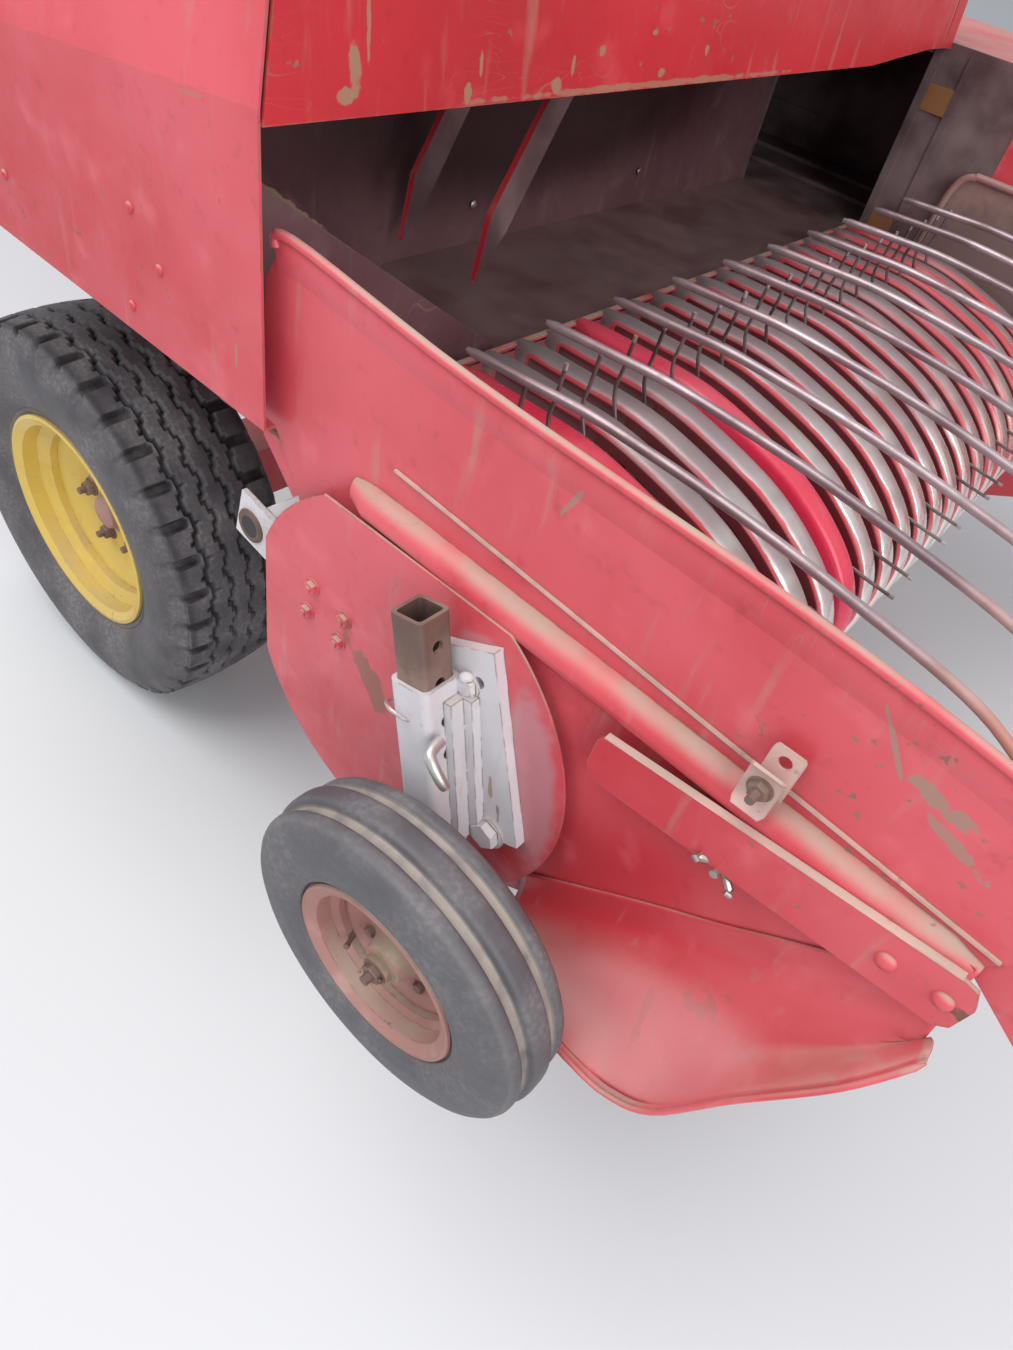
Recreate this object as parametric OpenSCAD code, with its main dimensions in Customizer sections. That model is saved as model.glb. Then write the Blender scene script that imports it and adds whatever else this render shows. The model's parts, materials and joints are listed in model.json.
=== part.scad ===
// Small square baler with a side pickup, parked on its jack with the pickup raised.
// Millimetres, X forward, Y to the machine's left, Z up. Inside the file everything is laid out from
// the right wheel: x = 0 at the axle, y = 0 at the outer face of the right tyre, z = 0 on the ground.

/* [Running gear] */
// Outside diameter of the two transport tyres
tyre_d = 760; // [720:800]
// Width of the transport tyres
tyre_w = 264; // [240:280]
// Diameter over the rim flanges of the transport wheels
rim_d = 424; // [400:440]
// Outside diameter of the gauge wheel tyre
gauge_d = 412; // [390:430]
// Width of the gauge wheel tyre
gauge_w = 111; // [95:120]
// Outer face of the left tyre
left_face = 2420; // [2400:2600]

/* [Bale chamber] */
// Right side of the bale chamber
chamber_y = 1604; // [1600:1640]
// Inside width of the bale chamber
chamber_w = 460; // [450:480]
// Inside height of the bale chamber
chamber_h = 360; // [350:380]
// Top of the chamber floor and of the feeder floor
floor_z = 955; // [940:970]
// Rear end of the chamber
chamber_back = -1750; // [-1900:-1500]
// Front end of the chamber
chamber_front = 1540; // [1530:1600]
// Length of the bale chute
chute_len = 640; // [500:700]

/* [Feeder housing] */
// Front edge of the side shield and the front panel
shield_front = 700; // [690:710]
// Rear edge of the side shield
shield_back = -260; // [-320:-200]
// Lower edge of the side shield
shield_low = 996; // [985:1005]
// Top of the housing
hood_top = 1600; // [1560:1650]
// Lower edge of the front panel
panel_low = 1294; // [1285:1305]

/* [Pickup] */
// Reel axis, forward of the wheel axle
reel_x = 950; // [940:960]
// Reel axis, height with the pickup raised
reel_z = 745; // [735:755]
// Radius at the tine tips
tine_r = 345; // [330:350]
// Distance between stripper bands
band_pitch = 71; // [71:1:72]
// Number of stripper bands
band_n = 22; // [20:22]
// Width of a stripper band
band_w = 44; // [40:46]
// Number of tine bars
bar_n = 4; // [4:5]

/* [Hitch] */
// Centre of the hitch pin, forward of the wheel axle
hitch_x = 3240; // [3100:3400]
// Height of the hitch pin centre
hitch_z = 520; // [480:560]
// Radius of the hitch pin bore
hitch_r = 15; // [13:17]

/* [Hidden] */
$fn = 48;
sheet = 3;
fine = 0.3;
axle_z = tyre_d / 2;
chamber_in = chamber_y + 5;
chamber_left = chamber_in + chamber_w;
chamber_mid = chamber_in + chamber_w / 2;
chamber_top = floor_z + chamber_h;
shield_y = -63;
flare_y = -38;
feed_x0 = 362;
feed_x1 = 700;
pickup_px = 470;
pickup_pz = 780;
band_y0 = 57;
pitch = band_pitch * (chamber_y - 113) / 1491;
band_last = band_y0 + (band_n - 1) * pitch;
flare_left_y = band_last + 42;
gauge_x = 1130;
gauge_z = 615;
gauge_face = -267;
drive_z = 1130;
drive_x = chamber_front + 350;
pto_tilt = 12;
fold_rear = 1200;
rail_z = hood_top - 200;
pivot_r = 18;
pin_r = 25;
spindle_r = 30;
frame_tube = [590, 590];
frame_tube_r = 32;
end_plate_y = flare_y + 3 + fine;
cover_y = -63;
leg_x = 1062;
leg_z = 700;
leg_tilt = 14.7;
guard_x = 1660;
guard_z = 930;
knot_x = -120;
needle_px = -440;
needle_pz = 870;
needle_r = 520;
jack_x = drive_x + 450;
hanger_x = drive_x + 760;
jack_y = chamber_mid + 95;
meter_x = -480;
top_back = -640;
wood_z = [[floor_z + 14, floor_z + 56], [chamber_top - 112, chamber_top - 64]];
cover_hinge = [chamber_left + 48, chamber_top + 14];
lid_hinge = [chamber_left + 27, 1496];
right_edge = gauge_face;
front_edge = hitch_x + 45;
back_edge = chamber_back - chute_len;
datum = [-(front_edge + back_edge) / 2, -(right_edge + left_face) / 2, 0];

RED = [0.66, 0.12, 0.14];
DEEP = [0.55, 0.07, 0.09];
STEEL = [0.42, 0.38, 0.37];
WORN = [0.62, 0.58, 0.55];
GREY = [0.62, 0.63, 0.64];
RUST = [0.36, 0.22, 0.15];
YELLOW = [0.85, 0.66, 0.13];
RUBBER = [0.09, 0.09, 0.1];
DULL = [0.42, 0.2, 0.17];

// A flat outline drawn in x and z, t thick towards +Y from y
module side_plate(y, t) {
    translate([0, y + t, 0]) rotate([90, 0, 0]) linear_extrude(t) children();
}

// A flat outline drawn in y and z, t thick towards +X from x
module front_plate(x, t) {
    translate([x, 0, 0]) rotate([90, 0, 90]) linear_extrude(t) children();
}

module xy_plate(z, t) {
    translate([0, 0, z]) linear_extrude(t) children();
}

module rod_y(x, z, y, len, r) {
    translate([x, y, z]) rotate([-90, 0, 0]) cylinder(h = len, r = r);
}

module rod_x(x, y, z, len, r) {
    translate([x, y, z]) rotate([0, 90, 0]) cylinder(h = len, r = r);
}

module block(x0, x1, y0, y1, z0, z1) {
    translate([x0, y0, z0]) cube([x1 - x0, y1 - y0, z1 - z0]);
}

// A round bar between two points
module bar(a, b, r, n = 16) {
    d = b - a;
    len = norm(d);
    translate(a) rotate([0, acos(d[2] / len), atan2(d[1], d[0])]) cylinder(h = len, r = r, $fn = n);
}

// Outline of a strip of thickness t on the right-hand side of a row of points
function way(p, i) = let (a = p[max(i - 1, 0)], b = p[min(i + 1, len(p) - 1)]) (b - a) / norm(b - a);
function beside(p, t) = [for (i = [0:len(p) - 1]) let (d = way(p, i)) p[i] + t * [d[1], -d[0]]];
function strip(p, t) = concat(p, [for (i = [len(p) - 1:-1:0]) beside(p, t)[i]]);

// A thin sheet through rows of points, pushed out by the vector t
module skin(rows, t) {
    n = len(rows[0]);
    m = len(rows);
    all = [for (row = rows) for (q = row) q];
    top = n * m;
    faces = concat(
        [for (j = [0:m - 2]) for (i = [0:n - 2]) let (a = j * n + i, b = a + n) each [[b + 1, a + 1, a], [b, b + 1, a],
            [top + a + 1, top + b + 1, top + a], [top + b + 1, top + b, top + a]]],
        [for (i = [0:n - 2]) let (b = (m - 1) * n + i) each [[i + 1, top + i + 1, i], [top + i + 1, top + i, i],
            [top + b + 1, b + 1, b], [top + b, top + b + 1, b]]],
        [for (j = [0:m - 2]) let (a = j * n, b = a + n, c = a + n - 1, d = c + n) each [[top + b, b, a], [top + a, top + b, a],
            [top + d, top + c, c], [d, top + d, c]]]);
    polyhedron(concat(all, [for (q = all) q + t]), faces);
}

// Points on an arc about c from angle a to angle b
function arc(c, r, a, b, n = 5) = [for (i = [0:n]) c + r * [cos(a + (b - a) * i / n), sin(a + (b - a) * i / n)]];
function rounded(x0, x1, z0, z1, r) = concat(arc([x1 - r, z1 - r], r, 0, 90), arc([x0 + r, z1 - r], r, 90, 180),
    arc([x0 + r, z0 + r], r, 180, 270), arc([x1 - r, z0 + r], r, 270, 360));

// A rolled edge along a row of points [x, z], standing d deep from y towards -Y
module rolled(path, y, d) {
    side_plate(y - d + 2, d - 2) polygon(strip([for (q = path) q + [0, 1]], d));
    side_plate(y - d, d) polygon(strip([for (q = path) q - [0, 1.5]], d - 5));
}

module main_frame() {
    low = floor_z - 6 - fine;
    color(RED) {
        difference() {
            block(-60, 60, 290, left_face - tyre_w - 26, axle_z - 60, axle_z + 60);
            block(-52, 52, 280, left_face - tyre_w - 16, axle_z - 52, axle_z + 52);
        }
        for (y = [290, left_face - tyre_w - 34]) block(-60, 60, y, y + 8, axle_z - 60, axle_z + 60);
        for (y = [chamber_y + 20, chamber_left - 32]) {
            side_plate(y, 12) difference() {
                polygon([[-70, axle_z + 50], [70, axle_z + 50], [200, low], [-140, low]]);
                polygon([[-40, axle_z + 130], [50, axle_z + 130], [120, low - 110], [-70, low - 110]]);
            }
        }
        side_plate(300, 10) difference() {
            polygon([[-58, axle_z + 30], [58, axle_z + 30], [120, 880],
                [560, 880], [560, low - 5], [-160, low - 5], [-160, 880], [-100, 860]]);
            polygon([[-38, axle_z + 110], [38, axle_z + 110], [70, 840], [-70, 840]]);
        }
        side_plate(300 - 26, 27) polygon([[-58, axle_z + 30], [-50, axle_z + 30], [-92, 862], [-100, 860]]);
        side_plate(300 - 26, 27) polygon([[50, axle_z + 30], [58, axle_z + 30], [120, 880], [112, 882]]);
        for (x = [-160, 500]) difference() {
            block(x, x + 60, 300, chamber_y + 25, low - 75, low - 10);
            block(x + 6, x + 54, 320, chamber_y + 5, low - 69, low - 16);
        }
        for (y = [700, chamber_y - 504]) block(-130, 530, y, y + 40, low - 60, low - 20);
        for (y = [chamber_y + 20, chamber_left - 70]) difference() {
            block(chamber_back + 500, drive_x - 160, y, y + 50, low - 75, low);
            block(chamber_back + 490, drive_x - 150, y + 6, y + 44, low - 69, low - 6);
        }
        for (x = [-900, 300, 900, 1300]) block(x, x + 50, chamber_y + 60, chamber_left - 60, low - 60, low - 5);
        block(drive_x - 260, drive_x - 140, chamber_y + 20, chamber_left - 20, 705, low - 5);
        for (z = [690, 790 + fine]) {
            block(drive_x - 260, drive_x, chamber_mid - 75, chamber_mid + 75, z, z + 20);
            translate([drive_x, chamber_mid, z]) cylinder(h = 20, r = 75);
        }
        for (y = [chamber_mid - 75, chamber_mid + 65]) side_plate(y, 10) polygon([[drive_x - 142, 805], [drive_x - 50, 805], [drive_x - 142, 868]]);
        for (y = [360, chamber_y - 124]) {
            side_plate(y, 10) difference() {
                polygon([[430, low - 5], [540, low - 5], [505, pickup_pz - 20],
                    [485, pickup_pz - 38], [455, pickup_pz - 38], [435, pickup_pz - 20]]);
                translate([pickup_px, pickup_pz]) circle(r = pivot_r + fine);
            }
            block(450, 520, y, y + 40, low - 30, low - 12);
        }
        block(needle_px - 40, needle_px + 40, chamber_y + 20, chamber_left - 20, needle_pz + 26, low);
        for (y = [chamber_mid - 108, chamber_mid + 100]) side_plate(y, 8) difference() {
            polygon([[needle_px - 60, low], [needle_px + 60, low], [needle_px + 35, needle_pz - 30], [needle_px - 35, needle_pz - 30]]);
            translate([needle_px, needle_pz]) circle(r = 20 + fine);
        }
    }
    color(WORN) {
        rod_y(0, axle_z, tyre_w - 127, 180, spindle_r);
        rod_y(0, axle_z, left_face - tyre_w - 53, 180, spindle_r);
        translate([drive_x, chamber_mid, 680]) cylinder(h = 145, r = pin_r);
        translate([drive_x, chamber_mid, 825]) cylinder(h = 14, r = pin_r + 12);
    }
}

// A pressed rib standing on the side of the chamber
module rib(x, y, depth) {
    xy_plate(floor_z - 6, chamber_h + 11) polygon([[x, y], [x + 8, y + depth], [x + 36, y + depth], [x + 44, y]]);
}

module bale_chamber() {
    low = floor_z - 6;
    high = chamber_top + 5;
    ring = [[chamber_back, low], [chamber_front, low], [chamber_front, high], [chamber_back, high]];
    hinge = [chamber_back - 30, floor_z - 30];
    post = chamber_back + 300;
    color(RED) difference() {
        union() {
            side_plate(chamber_y, 5) difference() {
                polygon(ring);
                polygon([[feed_x0, floor_z], [feed_x1 - 8, floor_z], [feed_x1 - 8, chamber_top - 20], [feed_x0, chamber_top - 20]]);
                for (z = wood_z) polygon([[feed_x1 - 8, z[0]], [feed_x1 + 46, z[0]], [feed_x1 + 46, z[1]], [feed_x1 - 8, z[1]]]);
            }
            side_plate(chamber_left, 5) polygon(ring);
            block(chamber_back, chamber_front, chamber_y, chamber_left + 5, low, floor_z);
            block(top_back, chamber_front, chamber_y, chamber_left + 5, chamber_top, high);
            for (x = [-1640, -1250, -880, -500, 200, 520, 840, 1160]) rib(x, chamber_left + 4, 14);
            for (x = [-1640, -1250, -880, -500]) rib(x, chamber_y + 1, -14);
            for (z = [low, high - 6]) {
                for (x = [[chamber_back + 60, post - 4], [post + 64, chamber_front]])
                    block(x[0], x[1], chamber_left + 4, chamber_left + 23, z, z + 6);
                for (x = [[chamber_back + 60, post - 4], [post + 64, shield_back - 30]])
                    block(x[0], x[1], chamber_y - 18, chamber_y + 1, z, z + 6);
            }
            for (x = [top_back, 420, 900, 1300]) block(x, x + 40, chamber_y + 20, chamber_left - 20, high - 1, high + 14);
            for (y = [chamber_mid - 34, chamber_mid + 24]) side_plate(y, 10) polygon([[meter_x - 110, chamber_top + 1], [meter_x + 110, chamber_top + 1],
                [meter_x + 14, chamber_top + 60], [meter_x - 14, chamber_top + 60]]);
            block(chamber_front - 6, chamber_front, chamber_y, chamber_left + 5, low, high);
            for (y = [chamber_y, chamber_left]) side_plate(y, 5) union() {
                translate(hinge) circle(r = 12);
                polygon([[hinge[0], hinge[1] - 12], [chamber_back + 80, hinge[1] - 12], [chamber_back + 80, floor_z - 1],
                    [chamber_back, floor_z - 5], [chamber_back, hinge[1] - 2], [hinge[0], hinge[1] - 2]]);
            }
        }
        for (y = [chamber_mid - 75, chamber_mid + 75]) {
            block(30, 135, y - 16, y + 16, floor_z - 20, floor_z + 20);
            block(-260, -130, y - 16, y + 16, chamber_top - 20, chamber_top + 20);
        }
        for (x = [[-1590, -1462], [-1378, -1262], [-1196, -1070]]) for (z = [floor_z + 95, floor_z + 215])
            block(x[0], x[1], chamber_y - 30, chamber_left + 30, z, z + 60);
        block(meter_x - 120, meter_x + 120, chamber_mid - 22, chamber_mid + 22, chamber_top - 20, chamber_top + 20);
    }
    color(WORN) {
        rod_y(meter_x, chamber_top + 40, chamber_mid - 34, 68, 10);
        for (z = [floor_z + 60, floor_z + 180, floor_z + 290]) {
            block(chamber_back + 20, feed_x0 - 70, chamber_left - 8, chamber_left + 1, z, z + 25);
            block(chamber_back + 20, feed_x0 - 70, chamber_in - 1, chamber_in + 8, z, z + 25);
        }
        for (y = [chamber_mid - 54, chamber_mid + 96]) block(chamber_back + 10, chamber_front - 20, y, y + 12, floor_z - 1, floor_z + 8);
        block(feed_x1 - 26, feed_x1 - 8, chamber_y - 4, chamber_y + 1, floor_z + 8, chamber_top - 6);
        block(feed_x1 + 46, feed_x1 + 62, chamber_y - 4, chamber_y + 1, floor_z + 8, chamber_top - 6);
        block(feed_x1 + 61, feed_x1 + 190, chamber_y - 2, chamber_y + 1, floor_z + 20, chamber_top - 6);
        for (x = [knot_x - 180, knot_x + 222]) front_plate(x, 8) union() {
            polygon([[chamber_left + 4, chamber_top - 50], [chamber_left + 4, chamber_top + 4], [cover_hinge[0] - 4, cover_hinge[1] + 8],
                [cover_hinge[0] + 8, cover_hinge[1] - 4]]);
            translate(cover_hinge) circle(r = 12);
        }
        rod_x(knot_x - 180, cover_hinge[0], cover_hinge[1], 410, 5);
        rod_y(hinge[0], hinge[1], chamber_y - 22, 24, 9);
        rod_y(hinge[0], hinge[1], chamber_left + 3, 24, 9);
    }
}

// Hardwood blocks that guide the plunger's edge, held between the two upright bars
module guide_blocks() {
    color([0.6, 0.36, 0.16]) for (z = wood_z)
        block(feed_x1 - 8 + fine, feed_x1 + 46 - fine, chamber_y - 4, chamber_in + 2, z[0] + fine, z[1] - fine);
}

module tension_rails() {
    x = chamber_back + 300;
    color(RED) {
        for (y = [chamber_in + 20, chamber_left - 80]) difference() {
            block(chamber_back, top_back - fine, y, y + 60, chamber_top - 30, chamber_top + 20);
            block(chamber_back - 10, top_back, y + 6, y + 54, chamber_top - 24, chamber_top + 30);
        }
        for (y = [chamber_in + 20, chamber_left - 80]) for (k = [x + 6, x + 54]) block(k - 6, k + 6, y, y + 60, chamber_top - 28, chamber_top + 24);
        difference() {
            block(x, x + 60, chamber_y - 60, chamber_left + 65, chamber_top + 20, chamber_top + 80);
            block(x + 6, x + 54, chamber_y - 70, chamber_left + 75, chamber_top + 26, chamber_top + 74);
        }
        for (y = [chamber_y - 60, chamber_left + 5 + fine]) {
            block(x, x + 60, y, y + 60 - fine, floor_z - 70, chamber_top + 21);
        }
        block(x, x + 60, chamber_y - 60, chamber_left + 65, floor_z - 130, floor_z - 82);
        for (y = [chamber_y - 60, chamber_left + 15]) block(x, x + 60, y, y + 50, floor_z - 83, floor_z - 69);
    }
    color(WORN) for (y = [chamber_y - 35, chamber_left + 40]) {
        translate([x + 30, y, chamber_top + 78]) cylinder(h = 10, r = 27);
        translate([x + 30, y, chamber_top + 87]) rotate_extrude() polygon(concat([[0, 0]],
            [for (k = [0:5]) each [[18, 16 * k], [24, 16 * k + 2], [26, 16 * k + 6], [24, 16 * k + 10], [18, 16 * k + 12]]], [[0, 96]]));
        translate([x + 30, y, chamber_top + 80]) cylinder(h = 150, r = 11);
        translate([x + 30, y, chamber_top + 182]) cylinder(h = 8, r = 27);
        translate([x + 30, y, chamber_top + 189]) cylinder(h = 30, r = 18, $fn = 6);
        block(x + 22, x + 130, y - 8, y + 8, chamber_top + 222, chamber_top + 232);
        translate([x + 122, y, chamber_top + 225]) cylinder(h = 34, r = 9);
    }
}

module feeder_floor() {
    color(STEEL) {
        xy_plate(floor_z - 4, 4) polygon([[345, chamber_y - fine], [345, 376], [560, 330], [560, -20], [660, -20],
            [660, chamber_y - fine]]);
        translate([0, 0, floor_z]) front_plate(feed_x0, 278) polygon([[-20, 268], [-20, 263], [381.4, fine], [395.5, fine]]);
    }
    color(RED) for (y = [420, chamber_y - 504, chamber_y - 44]) difference() {
        block(350, 620, y, y + 30, floor_z - 16 + fine, floor_z - 3);
        block(340, 610, y + 5, y + 25, floor_z - 20, floor_z - 8);
    }
}

module feeder_wall() {
    color(STEEL) {
        front_plate(feed_x0 - 6, sheet) polygon([[chamber_y - fine, floor_z + fine], [411, floor_z + fine], [-59, 1245],
            [-59, 1268], [6, hood_top - 40 - fine], [chamber_y - fine, hood_top - 40 - fine]]);
    }
    color(RUST) front_plate(feed_x0 - 3.5, 6) polygon([[405, floor_z + fine], [430, floor_z + fine], [-30, 1262], [-50, 1245]]);
}

module side_shield() {
    low = [[shield_back, shield_low + 22], [shield_front, shield_low]];
    color(RED) {
        side_plate(shield_y, sheet) polygon([low[0], low[1], [shield_front - 3, panel_low + 13], [shield_back, fold_rear]]);
        side_plate(shield_y, 16) polygon([low[0], low[1], low[1] + [0, 3], low[0] + [0, 3]]);
        skin([[[shield_back, shield_y, fold_rear - 1], [shield_front - 3, shield_y, panel_low + 12]],
            [[shield_back, 16, hood_top - 40], [shield_front - 30, -7, hood_top - 40]]], [0, sheet, 0]);
        for (x = [-150, 60]) block(x, x + 30, shield_y + 2, shield_y + 14, shield_low + 30, fold_rear + 20);
    }
}

module front_panel() {
    edge = [[-60 + fine, panel_low], [chamber_y - 370, panel_low], [chamber_y - 250, panel_low + 9], [chamber_y - 118, panel_low + 18], [chamber_y - 50, panel_low + 18]];
    cap = [[chamber_y - 46, panel_low + 18], [chamber_y, panel_low + 16]];
    color(DEEP) {
        for (row = [edge, cap]) {
            skin([[for (q = row) [shield_front, q[0], q[1]]], [for (q = row) [shield_front - 27, max(q[0], -3), hood_top - 38]]], [-3, 0, 0]);
            skin([[for (q = row) [shield_front - 3, q[0], q[1]]], [for (q = row) [shield_front - 17, q[0], q[1]]]], [0, 0, 2.5]);
        }
        xy_plate(hood_top - 40 + fine, 3) polygon([[shield_back - 3 - fine, 12], [shield_front - 27, -10], [shield_front - 27, chamber_y], [shield_back - 3 - fine, chamber_y]]);
        for (x = [-120, 100, 320, 540]) rod_y(x, hood_top - 40 + fine, 60, chamber_y - 120, 12);
        front_plate(shield_back - 3 - fine, 3) polygon([[-60, 1020], [-60, fold_rear], [19, hood_top - 38], [chamber_y, hood_top - 38], [chamber_y, 1020]]);
        for (y = [180, 560, 940, chamber_y - 284]) front_plate(shield_back - 15, 13) polygon(rounded(y, y + 60, 1060, 1500, 12));
    }
}

module feeder_rail() {
    color(RED) {
        difference() {
            block(470, 530, 120, chamber_y - 10, rail_z, rail_z + 60);
            block(476, 524, 110, chamber_y, rail_z + 6, rail_z + 54);
        }
        for (y = [150, chamber_y - 44]) block(480, 520, y, y + 20, rail_z + 55, hood_top - 40);
        for (y = [120, chamber_y - 18]) block(470, 530, y, y + 8, rail_z, rail_z + 60);
    }
}

// Feeder fingers hang in a row on the carriage that runs along the rail
module feeder_fingers() {
    reach = (rail_z - floor_z) / 445;
    blade = [for (q = [[426, 53], [440, 147], [588, 390], [640, 390], [560, 260], [478, 117]]) [q[0], floor_z + q[1] * reach]];
    brace = [for (q = [[560, 305], [600, 385], [630, 385], [585, 310]]) [q[0], floor_z + q[1] * reach]];
    color(RED) {
        difference() {
            block(455, 545, 560, 780, rail_z - 15, rail_z + 75);
            block(470 - fine, 530 + fine, 550, 790, rail_z - fine, rail_z + 60 + fine);
        }
        for (y = [580, 740]) {
            rod_x(440, y, rail_z - 22, 120, 13);
            rod_x(440, y, rail_z + 80, 120, 14);
        }
        block(385, 570, 590, 650, rail_z - 70, rail_z - 14);
        for (x = [395, 550]) {
            front_plate(x, 10) polygon(blade);
            front_plate(x + 9, 14) polygon(brace);
        }
    }
}

// A toothed disc turned about Y
module gear_y(x, z, y, len, r, teeth) {
    translate([x, y, z]) rotate([-90, 0, 0]) {
        cylinder(h = len, r = r - 5);
        linear_extrude(len) polygon([for (i = [0:teeth - 1]) for (k = [[0, -5], [0.25, 2], [0.5, 2], [0.75, -5]]) let (a = 360 * (i + k[0]) / teeth)
            (r + k[1]) * [cos(a), sin(a)]]);
    }
}

module knotters() {
    base = chamber_top + 5 + fine;
    shaft = [knot_x + 20, base + 125];
    color(RED) for (y = [chamber_in + 62, chamber_left - 34]) {
        side_plate(y, 14) difference() {
            polygon([[knot_x - 130, base], [knot_x + 170, base], [knot_x + 80, base + 175], [knot_x - 60, base + 175]]);
            polygon([[knot_x - 80, base + 25], [knot_x - 10, base + 25], [knot_x - 40, base + 80]]);
            polygon([[knot_x + 50, base + 25], [knot_x + 120, base + 25], [knot_x + 80, base + 80]]);
        }
    }
    color(WORN) {
        rod_y(shaft[0], shaft[1], chamber_in + 54, chamber_w - 70, 20);
        for (y = [chamber_mid - 75, chamber_mid + 75]) {
            difference() {
                rod_y(shaft[0], shaft[1], y + 24, 22, 95);
                rod_y(shaft[0], shaft[1], y + 34, 20, 80);
            }
            rod_y(shaft[0], shaft[1], y + 30, 28, 34);
            gear_y(shaft[0], shaft[1], y + 12, 13, 72, 24);
            side_plate(y + 20, 34) polygon([[knot_x - 5, base], [knot_x + 120, base], [knot_x + 60, base + 110], [knot_x + 10, base + 110]]);
            gear_y(knot_x + 62, base + 38, y - 34, 16, 34, 12);
            rod_y(knot_x + 62, base + 38, y - 44, 70, 9);
            bar([knot_x - 70, y, base + 92], [knot_x - 20, y - 6, base + 44], 8);
            bar([knot_x - 70, y, base + 92], [knot_x + 14, y + 12, base + 112], 10);
            translate([knot_x - 70, y, base + 92]) sphere(r = 13);
        }
    }
}

module knotter_cover() {
    y0 = chamber_y + 14;
    y1 = chamber_left + 40;
    side = concat([[knot_x - 170, chamber_top + 6], [knot_x + 220, chamber_top + 6]],
        arc([knot_x + 120, chamber_top + 200], 40, 10, 90), arc([knot_x - 70, chamber_top + 200], 40, 90, 170));
    color(RED) {
        difference() {
            side_plate(y0, y1 - y0) polygon(side);
            side_plate(y0 + 3, y1 - y0 - 6) polygon(concat([[knot_x - 167, chamber_top], [knot_x + 217, chamber_top]],
                arc([knot_x + 120, chamber_top + 200], 37, 10, 90), arc([knot_x - 70, chamber_top + 200], 37, 90, 170)));
        }
        for (x = [knot_x - 160, knot_x + 150]) difference() {
            rod_x(x, cover_hinge[0], cover_hinge[1], 60, 9);
            rod_x(x - 1, cover_hinge[0], cover_hinge[1], 62, 5 + fine);
        }
        for (y = [y0 + 100, y1 - 130]) block(knot_x - 60, knot_x + 110, y, y + 30, chamber_top + 238, chamber_top + 246);
        for (x = [knot_x - 20, knot_x + 60]) rod_y(x, chamber_top + 120, y0 - 32, 34, 6);
        rod_x(knot_x - 20, y0 - 26, chamber_top + 120, 80, 6);
    }
}

module twine_box() {
    y0 = chamber_left + 36;
    color(RED) {
        difference() {
            xy_plate(1000, 500) polygon(rounded(-1150, -560, y0, y0 + 300, 30));
            xy_plate(1003, 510) polygon(rounded(-1147, -563, y0 + 3, y0 + 297, 27));
        }
        xy_plate(1476, 24) difference() {
            polygon(rounded(-1156, -554, y0, y0 + 306, 36));
            polygon(rounded(-1147, -563, y0 + 3, y0 + 297, 27));
        }
        for (x = [-1060, -700]) block(x, x + 30, y0 + 299, y0 + 309, 1003, 1478);
        for (x = [-1050, -700]) block(x, x + 60, chamber_left + 5 + fine, y0 + 1, 1040, 1100);
        for (x = [-1060, -670]) {
            rod_x(x, lid_hinge[0], lid_hinge[1], 30, 8);
            block(x, x + 30, lid_hinge[0], y0 + 1, 1489, 1499);
        }
        for (x = [-1120, -640]) rod_x(x, lid_hinge[0], lid_hinge[1], 70, 4);
    }
}

module twine_lid() {
    y0 = chamber_left + 36;
    color(RED) {
        xy_plate(1500 + fine, 4) polygon(rounded(-1160, -550, y0 - 1, y0 + 313, 38));
        xy_plate(1486, 16) difference() {
            polygon(rounded(-1160, -550, y0 + 40, y0 + 313, 38));
            polygon(rounded(-1157.5, -552.5, y0, y0 + 310.5, 36));
            polygon([[-1200, y0 - 50], [-500, y0 - 50], [-500, y0 + 80], [-1200, y0 + 80]]);
        }
        xy_plate(1503, 8) polygon(rounded(-1080, -630, y0 + 60, y0 + 250, 30));
        for (x = [-1115, -635]) difference() {
            union() {
                rod_x(x, lid_hinge[0], lid_hinge[1], 50, 8);
                block(x, x + 50, lid_hinge[0], y0 + 1, 1500 + fine, 1504);
            }
            rod_x(x - 1, lid_hinge[0], lid_hinge[1], 52, 4 + fine);
        }
    }
}

module gearbox() {
    x = chamber_front + fine;
    color(RED) {
        block(x, x + 14, chamber_mid - 130, chamber_mid + 130, drive_z - 150, drive_z + 94);
        block(x + 13, x + 120, chamber_mid - 105, chamber_mid + 105, drive_z - 120, drive_z + 120);
        rod_x(x + 119, chamber_mid, drive_z, 61, 100);
        rod_x(x + 170, chamber_mid, drive_z, 30, 60);
        for (a = [0:60:300]) translate([x + 119, chamber_mid, drive_z]) rotate([a, 0, 0]) translate([0, 60, -5]) cube([58, 44, 10]);
        translate([x + 60, chamber_mid, drive_z + 119]) cylinder(h = 16, r = 60);
    }
    color(WORN) {
        rod_x(x + 199, chamber_mid, drive_z, 60, pin_r);
        for (a = [0:60:300]) translate([x + 60, chamber_mid, drive_z + 134]) rotate([0, 0, a]) translate([46, 0, 0]) cylinder(h = 8, r = 8, $fn = 6);
        for (y = [-118, 118]) for (z = [-135, -20, 80]) translate([x + 13, chamber_mid + y, drive_z + z]) rotate([0, 90, 0]) cylinder(h = 10, r = 9, $fn = 6);
    }
}

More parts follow.
